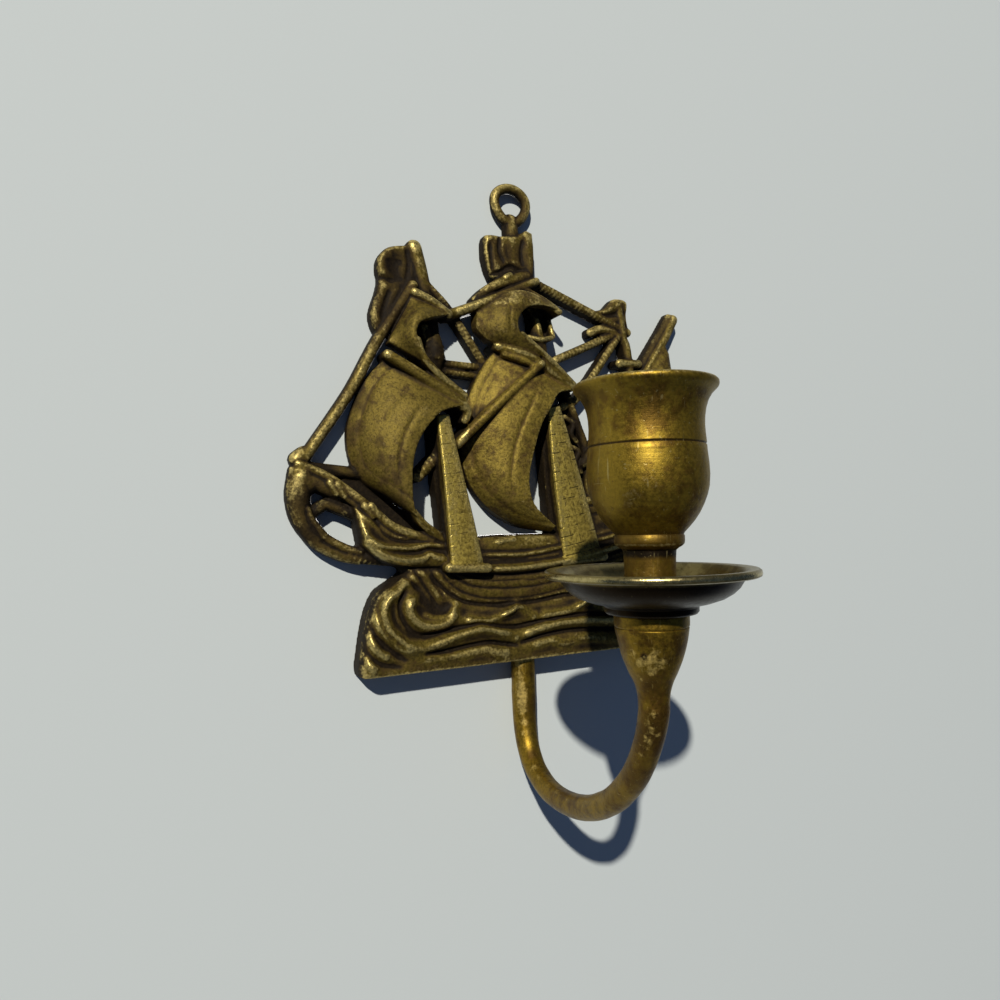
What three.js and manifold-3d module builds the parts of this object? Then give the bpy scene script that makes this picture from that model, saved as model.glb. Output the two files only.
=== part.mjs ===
// Wall plaque candle holder: an openwork cast brass galleon.
// It carries a curved arm, a drip pan and a candle cup.
// Millimetres, +Z up. The plaque's back lies in the plane Y = 0 and its front faces -Y.
// The origin is on that back, behind the hull: straight below the hanging ring, 20 mm above the bottom edge.

import * as THREE from 'three';
import { mergeVertices } from 'three/addons/utils/BufferGeometryUtils.js';
import Module from 'manifold-3d';

const wasm = await Module();
wasm.setup();

// Driving dimensions
const bottomEdge = -20; // the plaque's straight lower edge, where the arm is set in
const sailGauge = 4.6; // wall thickness of the billowing sails, which are open behind
const hullDepth = 8; // the hull's body, under its planks
const seaDepth = 9; // the sea's body, under its waves
const flagDepth = 4; // the flat of the flags, under their folds

const ring = { x: 0.5, z: 133, halfWide: 6, halfHigh: 5, tip: 126, bar: 1.7, height: 1.7, sides: 6 };

const arm = {
  depth: 4, turn: THREE.MathUtils.degToRad(-4.2), reach: 76, rootRadius: 3.9, thinRadius: 3.4,
};
const flare = { foot: -18, top: 2.8, radius: 8.8 };
const pan = {
  radius: 25, rimTop: 13.3, lip: 2, bowlRadius: 21.4, floor: 7.3, footRadius: 11, footHeight: 1.9,
};
const cup = {
  rimTop: 57, rimRadius: 17, lip: 2, waistRadius: 13.5, waist: 46.5, bellyRadius: 14.3, belly: 35,
  boreRadius: 11.2, boreFloor: 27, ringRadius: 8.2, ringTop: 21.4, ringFoot: 18.6, stemRadius: 6.2,
};
const roundSides = 24; // facets round the pan and the cup
const armSides = 10;

const agedBrass = { color: 0x7d6a33, roughness: 0.42, metalness: 1 };
const wornBrass = { color: 0x8a7434, roughness: 0.36, metalness: 1 };

// Solids

// Closed mesh from rings of equal length: walls between neighbours, and flat ends unless it is a loop.
function loft(rings, closed = false) {
  const size = rings[0].length;
  const index = [];
  const spans = closed ? rings.length : rings.length - 1;
  for (let i = 0; i < spans; i++) {
    const here = i * size;
    const next = ((i + 1) % rings.length) * size;
    for (let j = 0; j < size; j++) {
      const k = (j + 1) % size;
      index.push(here + j, next + j, next + k, here + j, next + k, here + k);
    }
  }
  if (!closed) {
    const last = (rings.length - 1) * size;
    for (let j = 1; j < size - 1; j++) {
      index.push(0, j, j + 1);
      index.push(last, last + j + 1, last + j);
    }
  }
  const geometry = new THREE.BufferGeometry().setFromPoints(rings.flat());
  geometry.setIndex(index);
  return geometry;
}

// Corners of a round section in the plane of two unit directions
function disc(centre, side, up, radius, corners) {
  return Array.from({ length: corners }, (_, k) => {
    const angle = (k / corners) * 2 * Math.PI;
    const corner = centre.clone().addScaledVector(side, radius * Math.cos(angle));
    return corner.addScaledVector(up, radius * Math.sin(angle));
  });
}

// The same geometry as a solid that can be joined, with its faces turned out.
function solidOf(geometry) {
  const bare = geometry.clone();
  bare.deleteAttribute('normal');
  bare.deleteAttribute('uv');
  const merged = mergeVertices(bare, 1e-4);
  const vertProperties = new Float32Array(merged.getAttribute('position').array);
  const triVerts = new Uint32Array(merged.getIndex().array);
  const made = new wasm.Manifold(new wasm.Mesh({ numProp: 3, vertProperties, triVerts }));
  if (made.volume() > 0) return made;
  const turned = triVerts.slice().reverse();
  return new wasm.Manifold(new wasm.Mesh({ numProp: 3, vertProperties, triVerts: turned }));
}

function geometryOf(solid) {
  const mesh = solid.getMesh();
  const geometry = new THREE.BufferGeometry();
  geometry.setAttribute('position', new THREE.BufferAttribute(mesh.vertProperties, 3));
  geometry.setIndex(new THREE.BufferAttribute(mesh.triVerts, 1));
  return geometry;
}

// Relief points are [x, z, height above the back].
const reliefPoint = ([x, z, height]) => new THREE.Vector3(x, -height, z);
const reliefCurve = (points, closed = false) =>
  new THREE.CatmullRomCurve3(points.map(reliefPoint), closed, 'catmullrom', 0.5);

// Cross-sections of a raised bar, from foot to foot over the crest: [across, drop below the crest].
// Both are shares of the half width. The feet stand on the back, a little wider, for the casting's draft.
const rounded = [[-0.8, 0.45], [0, 0], [0.8, 0.45]];
const flat = [[-1, 0], [1, 0]];
const footSpread = 1.15;

// A raised bar whose crest follows the points. width is its half width, or [start, end] on a taper.
function ridge(points, width, options = {}) {
  const { steps = points.length > 3 ? 2 : 1, closed = false, section = rounded } = options;
  const curve = reliefCurve(points, closed);
  const [startWidth, endWidth] = Array.isArray(width) ? width : [width, width];
  const spans = steps * (closed ? points.length : points.length - 1);
  const rings = [];
  for (let i = 0; i < (closed ? spans : spans + 1); i++) {
    const t = i / spans;
    const crest = curve.getPoint(t);
    const along = curve.getTangent(t);
    const across = new THREE.Vector3(along.z, 0, -along.x).normalize();
    const half = THREE.MathUtils.lerp(startWidth, endWidth, t);
    const at = (share, y) => crest.clone().setY(y).addScaledVector(across, share * half);
    rings.push([
      at(-footSpread, 0),
      ...section.map(([share, drop]) => at(share, Math.min(crest.y + drop * half, -0.2))),
      at(footSpread, 0),
    ]);
  }
  return solidOf(loft(rings, closed));
}

// A billowing sail between its left edge (luff) and right edge (leech), both from head to foot.
// belly lifts its middle and arch raises the middle of its head.
function sail({ luff, leech, belly, arch = 0, across = 5, along = 8 }) {
  const left = reliefCurve(luff);
  const right = reliefCurve(leech);
  const top = [];
  const under = [];
  for (let j = 0; j <= along; j++) {
    const v = j / along;
    for (let i = 0; i <= across; i++) {
      const u = i / across;
      const point = left.getPoint(v).lerp(right.getPoint(v), u);
      point.y -= belly * Math.sin(Math.PI * u) * Math.sqrt(Math.sin(Math.PI * v));
      point.z += arch * Math.sin(Math.PI * u) * (1 - v) ** 2;
      top.push(point);
      under.push(point.clone().setY(Math.min(0, point.y + sailGauge)));
    }
  }
  const row = across + 1;
  const index = [];
  const quad = (a, b, c, d) => index.push(a, b, c, a, c, d);
  for (let j = 0; j < along; j++) {
    for (let i = 0; i < across; i++) {
      const k = j * row + i;
      const m = k + top.length;
      quad(k, k + 1, k + row + 1, k + row);
      quad(m, m + row, m + row + 1, m + 1);
    }
  }
  const edge = [];
  for (let i = 0; i < across; i++) edge.push(i);
  for (let j = 0; j < along; j++) edge.push(j * row + across);
  for (let i = across; i > 0; i--) edge.push(along * row + i);
  for (let j = along; j > 0; j--) edge.push(j * row);
  edge.forEach((a, i) => {
    const b = edge[(i + 1) % edge.length];
    quad(a, a + top.length, b + top.length, b);
  });
  const geometry = new THREE.BufferGeometry().setFromPoints([...top, ...under]);
  geometry.setIndex(index);
  return solidOf(geometry);
}

// A flat piece of the casting, standing on the back, with the outline [x, z] and the given depth.
function slab(outline, depth) {
  const shape = new THREE.Shape(outline.map(([x, z]) => new THREE.Vector2(x, z)));
  const geometry = new THREE.ExtrudeGeometry(shape, { depth, bevelEnabled: false });
  return solidOf(geometry.rotateX(Math.PI / 2));
}

// A line part of the way from one relief line to another with as many points.
function between(lower, upper, share) {
  const mix = (point, other) => point.map((value, k) => THREE.MathUtils.lerp(value, other[k], share));
  return lower.map((point, i) => mix(point, upper[i]));
}

// The sails

const foreCourse = {
  luff: [[-44, 77, 5], [-50, 71, 3.5], [-54.5, 63, 3], [-57.5, 53, 3], [-56.5, 44, 3],
    [-53.5, 38.5, 3], [-46, 32.5, 3.5], [-37.5, 26.5, 4.5], [-30.5, 20.5, 7]],
  leech: [[-22, 61.5, 11.5], [-28, 60, 13], [-32.5, 57.5, 14], [-37.5, 51, 14], [-40, 44, 14],
    [-40.5, 35, 14], [-39.5, 28.5, 13.5], [-36.5, 24.5, 12.5], [-29.5, 19.5, 10.5]],
  belly: 3,
};
const foreTopsail = {
  luff: [[-37, 95.5, 6], [-41, 88, 6], [-45, 80.5, 7]],
  leech: [[-25.5, 90.5, 8.5], [-32.5, 88, 11.5], [-36.5, 86, 12], [-37.5, 82, 12], [-35.5, 77, 12],
    [-27, 69.5, 11]],
  belly: 2, across: 4, along: 7,
};
const mainCourse = {
  luff: [[-7, 81.5, 7], [-11.5, 77.5, 6], [-18, 66, 6], [-21, 53, 5], [-20.5, 47, 4], [-19, 40, 4],
    [-15, 33, 4], [-9, 27.5, 4], [-0.5, 23, 5], [10, 21, 8]],
  leech: [[18.5, 69, 10.5], [11.5, 67, 13], [8, 62.5, 14], [4, 56, 14], [1, 47.5, 14], [-1, 39, 14],
    [-0.5, 33, 14], [1.5, 29.5, 13.5], [5, 26.5, 12.5], [10.5, 23, 10.5]],
  belly: 3,
};
const mainTopsail = {
  luff: [[-14, 95, 7], [-15.5, 91.5, 7], [-15.5, 87.5, 7.5], [-13, 84, 8.5], [-10, 82.5, 9]],
  leech: [[14, 95.5, 10.5], [7.5, 96, 12], [1.5, 95, 12], [-2.5, 91, 12.5], [-2, 86, 12.5],
    [8, 79, 11]],
  belly: 2, arch: 6, along: 7,
};
const mizzenSail = {
  luff: [[62, 90, 5], [56, 81.5, 6], [46.5, 69, 7], [36, 57, 7]],
  leech: [[64.5, 86, 5], [63, 70, 8.5], [56, 54, 10], [38, 47, 9]],
  belly: 1.5, across: 4, along: 5,
};

// Spars and ropes: each is a crest line and a half width

const spars = [
  // Fore stay
  { points: [[-36, 99.5, 6], [-47.5, 81.5, 5.5], [-56.5, 65, 5], [-70, 45, 5]], width: 1.8 },
  { points: [[-45.5, 76.5, 9], [-35, 70, 11], [-22, 61.5, 12]], width: [1.5, 2] }, // fore yard
  // Main topgallant yard
  { points: [[-23.5, 92.5, 6.5], [-3.5, 101, 8], [7.5, 105.5, 7]], width: [1.9, 1.6] },
  // Head of the main topsail
  { points: [[3, 101.5, 8], [9, 98.5, 9.5], [14, 95, 11]], width: [1.8, 1.1] },
  { points: [[-36, 97, 7.5], [-30.5, 94.5, 8], [-25, 91, 8]], width: 1.4 }, // head of the fore topsail
  // Main upper yard
  { points: [[-9.5, 82, 9.5], [1.5, 77.5, 11.5], [18.5, 69.5, 11]], width: [1.7, 1.6] },
  { points: [[-24, 49.5, 10.5], [-10.5, 62.5, 13], [5.5, 76.5, 13]], width: [1.6, 1.4] }, // main yard
  // Stay from the main to the mizzen mast
  { points: [[7.5, 106, 5.5], [25.5, 100, 5], [46.5, 92.5, 5]], width: 1.7 },
  // Stay from the fore to the main mast
  { points: [[-32, 101, 5.5], [-23, 92.5, 5], [-12, 77, 5]], width: 1.4 },
  { points: [[-27, 76, 4.5], [-11, 75.5, 4.5]], width: 1.3 },
  { points: [[-27.5, 73.5, 4.5], [-14, 72.5, 4.5]], width: 1.1 },
  { points: [[41, 91.5, 5], [15.5, 80, 5]], width: 1.5 }, // mizzen braces
  { points: [[42, 90.5, 5.5], [25, 68.5, 5.5], [18, 64, 5.5]], width: 1.5 },
  // Corner of the furled mizzen topsail
  { points: [[29, 91, 5], [34, 93, 5], [40, 92, 5]], width: 2.2 },
  // Mizzen shroud
  { points: [[19, 69, 6], [24, 58, 5], [27, 49, 5], [27.5, 30, 6]], width: 1.5, steps: 1 },
  // Lateen yard
  { points: [[25, 44.5, 7], [46.5, 69, 7], [62, 90, 5.5], [68, 99.5, 5]], width: [1.7, 1.9], steps: 1 },
  { points: [[-68, 42, 4], [-54, 40.5, 4]], width: 1.9 }, // rope from the bowsprit to the fore course
  { points: [[-36, 39.5, 5], [-28, 47.5, 5.5]], width: 1.9 }, // sheet behind the fore course
];

const masts = [
  { points: [[-35, 112, 5.5], [-32.5, 101.5, 5.5], [-29, 81, 5.5], [-30.5, 52.5, 6],
    [-28.5, 20, 7.5]], width: [2, 2.2] },
  { points: [[5.5, 122, 5], [6, 107, 5.5], [8, 88, 5.5], [9, 56, 6], [10, 20, 7]], width: [1.7, 2.4] },
  { points: [[43, 103, 4.5], [44, 91, 5.5], [46, 81, 6], [48, 32, 8]], width: [1.6, 2.2] },
];

// Fighting tops: a bowl with a rim, round the mast
const tops = [
  { points: [[-28.5, 88, 4.5], [-29, 80, 7], [-28, 73, 6]], width: [2.6, 3] },
  { points: [[-33, 81.8, 7], [-25, 82.4, 7]], width: 1.4 },
  { points: [[8.5, 96, 4.5], [8, 88, 7], [8.2, 81, 6]], width: [3.2, 3.4] },
  { points: [[2.6, 88, 7], [13, 88.8, 7]], width: 1.5 },
  { points: [[41.5, 80.6, 6.5], [50, 81, 6.5]], width: 1.6 },
];

// Flags: their folds stand on a flat of the flag's outline
const foreFlag = [[-35, 113], [-42.5, 111], [-45, 109.5], [-46.5, 107], [-47, 103.5], [-46.5, 101],
  [-48.5, 93], [-49.5, 89.5], [-49, 86], [-47, 82.5], [-44, 84], [-34, 100]];
const mainFlag = [[-10.5, 119.5], [-11, 114], [-8.5, 106], [-4, 104], [8, 107], [8, 117.5],
  [7.5, 123.5], [4.5, 123.5], [1.5, 121.5], [-4.5, 120.5]];
const mizzenFlag = [[28, 98.5], [36, 100.5], [38.5, 102], [39.5, 104], [42, 104.5], [45.5, 104.5],
  [47, 103], [46, 98], [47.5, 93], [38, 94]];
const flagFolds = [
  { points: [[-39, 109, 5], [-42.5, 109, 5.2], [-45, 105.5, 5.2], [-45, 102, 4.5]],
    width: 1.8, steps: 1 },
  { points: [[-43, 99.5, 4.5], [-46, 94.5, 5.2], [-47, 89, 5.2], [-46.5, 84.5, 5]],
    width: 1.8, steps: 1 },
  { points: [[-9, 107.5, 5], [-9.5, 117.5, 5]], width: 1.5 },
  { points: [[-5.5, 108, 5.5], [-5.5, 118.5, 5.5]], width: 1.7 },
  { points: [[-1, 109, 5.7], [-1, 119, 5.7]], width: 2.2 },
  // Furled topgallant
  { points: [[-13.5, 98, 6], [-10.5, 101.5, 7.5], [-4, 105, 7.5], [6, 107, 7]], width: [2.2, 2.4] },
];

// The hull: planks run between the deck rail, the wale and the waterline, fore to aft
const deckRail = [[-56, 31, 8], [-50, 26.5, 9.5], [-41, 21.5, 10], [-28, 19.5, 10], [-8, 20.5, 9.5],
  [12, 20.5, 9.5], [32, 22.5, 10], [58, 28.5, 9.5]];
const wale = [[-55.5, 19, 8.5], [-48.5, 15, 10.5], [-42, 13.5, 11], [-30, 12, 11.5], [-12, 9.5, 11.5],
  [9, 10.5, 11.5], [31, 14.5, 11.5], [59, 21.5, 10]];
const lowerStrake = [[-44, 12.5, 9.5], [-30, 9.5, 10.5], [-13, 6.5, 10.8], [6, 7, 10.8],
  [28, 11, 10.4], [58, 19, 9.4]];
const waterline = [[-43, 11.5, 9.5], [-31, 6, 10], [-17, 0.5, 10], [0, -1.5, 10], [16, 0.5, 10],
  [52, 9, 9.4]];
const quarterRail = [[23, 33, 9.8], [40, 35, 9.8], [60, 39.5, 9.4]];
const hullOutline = [[-57, 30], [-50, 26.5], [-41, 21.5], [-28, 19.5], [12, 20.5], [22, 21.5],
  [23, 32.5], [40, 34.5], [60, 39], [61, 30], [57, 15], [48, 2], [16, -3], [0, -4], [-17, -2],
  [-31, 4], [-43, 10], [-54.5, 18]];
const upperPlanks = 3;
const lowerPlanks = 3;

// The bow: bowsprit, scrolled beakhead and its inner curl
const bow = [
  { points: [[-72, 44.5, 5], [-70, 46, 5]], width: 2.6 },
  { points: [[-72, 43, 5.5], [-63.5, 39, 6.5], [-52, 30, 8.5], [-45, 24, 9.5], [-33, 19.5, 10]],
    width: [1.4, 1.6], steps: 1 },
  { points: [[-70.5, 40, 5.5], [-72.5, 33.5, 5.8], [-71, 27, 5.6], [-66.5, 21, 5.6], [-59.5, 17, 6],
    [-45, 14, 7.5]], width: [3.8, 2] },
  { points: [[-69, 38.5, 6], [-60, 34.5, 6.5]], width: 2.5 },
  { points: [[-70, 27, 4.5], [-66.5, 30, 5], [-63, 31, 5], [-54.5, 27.5, 6]], width: 1.8 },
];

// Shrouds: tapering flat panels from the sail's corner down to a short ledge on the wale
const shrouds = [
  { points: [[-29, 58.5, 10.5], [-26, 35, 12.5], [-23, 12, 13.5]], width: [2, 5.4], section: flat },
  { points: [[-29, 11.2, 14], [-16, 10.5, 14]], width: 1.5 },
  { points: [[11.5, 63, 9.5], [15, 41.5, 10.5], [20.5, 11.5, 11.5]], width: [2.4, 7.6], section: flat },
  { points: [[12.5, 11, 12], [29, 12, 12]], width: 1.5 },
];

// The sea: a solid block with curling waves
const seaOutline = [[-41, 10], [-45.5, 7.5], [-50, 4.5], [-52.5, -1], [-54.5, -8.5], [-56, -16],
  [-55.5, bottomEdge], [49, bottomEdge], [52, -17], [52.5, -9], [49.5, -1], [44, 4], [16, 6], [-30, 8]];
const waves = [
  { points: [[-42, 8, 10.4], [-46.5, 5.5, 11.5], [-48.5, 1, 12], [-47, -4, 12], [-43, -9, 11.8],
    [-36, -12.5, 11.4], [-27, -11.5, 12], [-18, -10, 12], [-7, -11, 11]], width: 1.9, steps: 1 },
  { points: [[-37.5, 6, 11], [-41, 1, 12.4], [-39.5, -3.5, 12.4], [-34.5, -5.5, 12.4], [-29, -4, 12],
    [-26, -1, 11]], width: [1.6, 1.9] },
  { points: [[-47.5, 7.5, 9.4], [-51.5, 2, 10.4], [-51, -6, 10.8], [-45.5, -13, 10.8],
    [-38, -16, 10.8], [-14, -14, 11.2], [0, -15, 10.8], [22, -14, 11], [46, -14, 10.6]],
    width: 1.7, steps: 1 },
  { points: [[-53.5, -5, 9.6], [-54, -11.5, 10], [-51.5, -15.5, 10.2], [-44, -17.8, 10.2],
    [-30, -18, 10.2]], width: 1.4, steps: 1 },
  { points: [[-24.5, -6.5, 11], [-16, -6, 11.4], [-9.5, -4.5, 12.2], [-3.5, -2, 12], [8, -4, 11],
    [24, -2.5, 11.6], [38, 0.5, 11], [47, 0, 10]], width: 1.8, steps: 1 },
  { points: [[-9, -11, 11], [-2.5, -10.5, 11.8], [7, -9, 12], [21.5, -6, 12], [34, -7, 11.2],
    [48, -6, 10.6]], width: 1.8, steps: 1 },
];

function plaqueSolid() {
  const bars = [...spars, ...masts, ...tops, ...flagFolds, ...bow, ...shrouds, ...waves];
  for (let i = 0; i <= upperPlanks; i++) {
    bars.push({ points: between(deckRail, wale, i / upperPlanks), width: 1.25, steps: 1 });
  }
  for (let i = 1; i <= lowerPlanks; i++) {
    bars.push({ points: between(lowerStrake, waterline, i / lowerPlanks), width: 1.2, steps: 1 });
  }
  bars.push({ points: quarterRail, width: 1.4 });
  // The ring's neck
  bars.push({ points: [[ring.x, ring.tip, 4], [ring.x, ring.tip - 8, 4.5]], width: [2.4, 3.2] });

  const solids = bars.map(({ points, width, ...options }) => ridge(points, width, options));
  const sails = [foreCourse, foreTopsail, mainCourse, mainTopsail, mizzenSail];
  solids.push(...sails.map(sail));
  solids.push(...[foreFlag, mainFlag, mizzenFlag].map((outline) => slab(outline, flagDepth)));
  solids.push(slab(hullOutline, hullDepth), slab(seaOutline, seaDepth));
  solids.push(hangingRing());
  return solids.reduce((whole, piece) => whole.add(piece));
}

// A pear-shaped loop of round bar: half an ellipse above, drawn down to the neck below
function hangingRing() {
  const turns = 8;
  const centres = [];
  for (let i = 0; i < turns; i++) {
    const angle = (i / turns) * 2 * Math.PI;
    const below = Math.min(0, Math.sin(angle));
    const wide = ring.halfWide * Math.cos(angle) * (1 - 0.25 * below * below);
    const high = Math.sin(angle) * (below < 0 ? ring.z - ring.tip : ring.halfHigh);
    centres.push(new THREE.Vector3(ring.x + wide, -ring.height, ring.z + high));
  }
  const loop = new THREE.CatmullRomCurve3(centres, true);
  const rings = [];
  for (let i = 0; i < 2 * turns; i++) {
    const t = i / (2 * turns);
    const forward = new THREE.Vector3(0, 1, 0);
    const side = forward.clone().cross(loop.getTangent(t));
    rings.push(disc(loop.getPoint(t), side, forward, ring.bar, ring.sides));
  }
  return solidOf(loft(rings, true));
}

// The arm: out of the plaque's lower edge, down, forward in a hook and up into a flared seat.
// It is drawn in its own upright plane, [forward, z, radius].
const armLine = [
  [0, bottomEdge, arm.rootRadius], [0, -33, arm.rootRadius], [0.4, -41, 3.8], [3.2, -49.4, 3.6],
  [10.2, -55.4, arm.thinRadius], [21.5, -58, arm.thinRadius], [38, -56, arm.thinRadius],
  [54, -49, arm.thinRadius], [66, -39, arm.thinRadius], [73, -28.6, 3.5], [75.7, -21, 3.6],
  [arm.reach, flare.foot, 3.7],
];
const flareLine = [[-15.4, 4], [-13, 4.7], [-10.7, 5.75], [-7.2, 7.1], [-3.6, 8.1],
  [0.4, flare.radius], [flare.top, flare.radius]];

function armGeometry() {
  const centres = armLine.map(([forward, z]) => new THREE.Vector3(0, -forward, z));
  const path = new THREE.CatmullRomCurve3(centres);
  const thickness = armLine.map(([, , radius], i) => new THREE.Vector3(i, radius, 0));
  const radii = new THREE.CatmullRomCurve3(thickness);
  const side = new THREE.Vector3(1, 0, 0);
  const round = (centre, up, radius) => disc(centre, side, up, radius, armSides);
  const upright = new THREE.Vector3(0, 1, 0);
  const steps = 2 * (armLine.length - 1);
  const rings = [];
  for (let i = 0; i <= steps; i++) {
    const t = i / steps;
    const ends = i === 0 || i === steps;
    const along = path.getTangent(t);
    const up = ends ? upright.clone().multiplyScalar(i === 0 ? -1 : 1) : along.clone().cross(side);
    rings.push(round(path.getPoint(t), up, radii.getPoint(t).y));
  }
  for (const [z, radius] of flareLine) {
    rings.push(round(new THREE.Vector3(0, -arm.reach, z), upright, radius));
  }
  return geometryOf(solidOf(loft(rings)));
}

// Turned pieces: a profile of [radius, z] round the cup's axis, from the axis below to the axis above.
function turned(profile) {
  const points = profile.map(([radius, z]) => new THREE.Vector2(radius, z));
  const geometry = new THREE.LatheGeometry(points, roundSides).rotateX(Math.PI / 2);
  return geometryOf(solidOf(geometry));
}

function curveThrough(points, count) {
  const curve = new THREE.SplineCurve(points.map(([radius, z]) => new THREE.Vector2(radius, z)));
  return curve.getPoints(count).map(({ x, y }) => [x, y]);
}

function panGeometry() {
  const lipFoot = pan.rimTop - pan.lip;
  const footTop = flare.top + pan.footHeight;
  const outside = curveThrough([[pan.footRadius, footTop], [17, 6.6], [20.2, 9],
    [pan.bowlRadius, lipFoot]], 5);
  const inside = curveThrough([[22, pan.rimTop - 0.4], [19.6, 10], [16.6, 8.2], [12.5, pan.floor]], 5);
  return turned([
    [0, flare.top], [pan.footRadius - 0.9, flare.top], [pan.footRadius, flare.top + 0.7], ...outside,
    [pan.radius - 0.5, lipFoot + 0.2], [pan.radius, lipFoot + 1], [pan.radius - 0.5, pan.rimTop],
    ...inside, [0, pan.floor],
  ]);
}

function cupGeometry() {
  const lipFoot = cup.rimTop - cup.lip;
  const body = curveThrough([
    [cup.ringRadius + 0.2, cup.ringTop + 0.3], [10.6, 24.4], [12.8, 28.2],
    [cup.bellyRadius - 0.2, 32.3], [cup.bellyRadius, cup.belly], [13.8, 41.6],
    [cup.waistRadius, cup.waist], [14.3, 52], [16.6, lipFoot],
  ], 10);
  const bore = curveThrough([[15.4, cup.rimTop - 0.2], [12.4, 53.4], [cup.boreRadius, 49.6]], 3);
  const floor = curveThrough([[cup.boreRadius, 33.4], [9.8, 29.4], [6, cup.boreFloor + 0.3]], 3);
  return turned([
    [0, pan.floor], [cup.stemRadius, pan.floor], [cup.stemRadius - 0.2, 12.4], [cup.stemRadius, 17.8],
    [cup.ringRadius - 0.9, cup.ringFoot], [cup.ringRadius, cup.ringFoot + 1.2],
    [cup.ringRadius, cup.ringTop], ...body, [cup.rimRadius, lipFoot + 0.6],
    [cup.rimRadius, cup.rimTop - 0.5], [cup.rimRadius - 0.6, cup.rimTop],
    ...bore, ...floor, [0, cup.boreFloor],
  ]);
}

// Assembly

function piece(name, geometry, finish) {
  const mesh = new THREE.Mesh(geometry, new THREE.MeshStandardMaterial(finish));
  mesh.name = name;
  return mesh;
}

const candleHolder = new THREE.Group();
candleHolder.add(piece('plaque', geometryOf(plaqueSolid()), agedBrass));

const bracket = new THREE.Group(); // the arm stands a little askew in the plaque
bracket.position.set(0, -arm.depth, 0);
bracket.rotation.z = arm.turn;
bracket.add(piece('arm', armGeometry(), wornBrass));
candleHolder.add(bracket);

const candleSeat = new THREE.Group(); // the pan and the cup, on the flare's axis
candleSeat.position.set(0, -arm.reach, 0);
candleSeat.add(piece('drip_pan', panGeometry(), wornBrass));
candleSeat.add(piece('candle_cup', cupGeometry(), wornBrass));
bracket.add(candleSeat);

export default candleHolder;
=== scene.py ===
import bpy
import math
import numpy as np
from mathutils import Matrix, Vector


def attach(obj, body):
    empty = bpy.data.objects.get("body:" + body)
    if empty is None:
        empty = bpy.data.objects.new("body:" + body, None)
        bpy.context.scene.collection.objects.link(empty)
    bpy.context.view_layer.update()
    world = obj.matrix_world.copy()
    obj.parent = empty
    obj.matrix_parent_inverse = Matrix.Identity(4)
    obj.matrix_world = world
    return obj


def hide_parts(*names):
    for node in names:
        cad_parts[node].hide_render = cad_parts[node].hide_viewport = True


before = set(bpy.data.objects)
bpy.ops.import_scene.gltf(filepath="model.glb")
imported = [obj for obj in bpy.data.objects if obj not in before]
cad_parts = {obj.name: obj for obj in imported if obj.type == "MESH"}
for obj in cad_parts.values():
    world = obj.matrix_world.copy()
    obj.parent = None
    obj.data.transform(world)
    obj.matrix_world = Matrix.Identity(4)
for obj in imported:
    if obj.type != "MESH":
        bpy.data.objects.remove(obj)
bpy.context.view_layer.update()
mm = 0.001


def clearSelection():
    if bpy.context.object and bpy.context.object.mode != "OBJECT":
        bpy.ops.object.mode_set(mode="OBJECT")
    bpy.ops.object.select_all(action="DESELECT")


def pick(*objects):
    clearSelection()
    for obj in objects:
        obj.select_set(True)
    bpy.context.view_layer.objects.active = objects[0]
    return objects[0]


def edit(obj, selectAll=True):
    pick(obj)
    bpy.ops.object.mode_set(mode="EDIT")
    bpy.ops.mesh.select_mode(type="VERT")
    bpy.ops.mesh.select_all(action="SELECT" if selectAll else "DESELECT")


def joined(objects, name):
    whole = pick(*objects)
    if len(objects) > 1:
        bpy.ops.object.join()
    whole.name = name
    return whole


def finishWith(obj, kind, **settings):
    pick(obj)
    modifier = obj.modifiers.new(kind.title(), kind)
    for key, value in settings.items():
        setattr(modifier, key, value)
    bpy.ops.object.modifier_apply(modifier=modifier.name)


def corners(obj):
    flat = np.empty(len(obj.data.vertices) * 3)
    obj.data.vertices.foreach_get("co", flat)
    return flat.reshape(-1, 3)


def moveCorners(obj, places):
    obj.data.vertices.foreach_set("co", np.asarray(places, dtype=float).reshape(-1))
    obj.data.update()


def curveThrough(points, count):
    # evenly stepped curve through given points
    p = np.array(points, dtype=float)
    p = np.vstack([2 * p[0] - p[1], p, 2 * p[-1] - p[-2]])
    spans = len(points) - 1
    made = []
    for t in np.linspace(0, spans, count):
        k = min(int(t), spans - 1)
        f = t - k
        a, b, c, d = p[k:k + 4]
        made.append(0.5 * (2 * b + (c - a) * f + (2 * a - 5 * b + 4 * c - d) * f ** 2
                           + (3 * b - a - 3 * c + d) * f ** 3))
    return np.array(made)


def lengthAlong(line):
    return np.concatenate([[0], np.cumsum(np.linalg.norm(np.diff(line[:, :2], axis=0), axis=1))])


def headings(line):
    # unit direction at each point of a line, in its own plane
    runs = np.gradient(line[:, :2], axis=0)
    return runs / np.linalg.norm(runs, axis=1)[:, None]


def closeEdit():
    bpy.ops.mesh.select_all(action="SELECT")
    bpy.ops.mesh.normals_make_consistent(inside=False)
    bpy.ops.object.mode_set(mode="OBJECT")


def layGrid(rows):
    # a grid primitive whose corners are drawn out to the given rows
    rows = np.asarray(rows, dtype=float)
    clearSelection()
    bpy.ops.mesh.primitive_grid_add(x_subdivisions=rows.shape[1] - 1,
                                    y_subdivisions=rows.shape[0] - 1, size=1)
    sheet = bpy.context.object
    moveCorners(sheet, rows)
    return sheet


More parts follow.
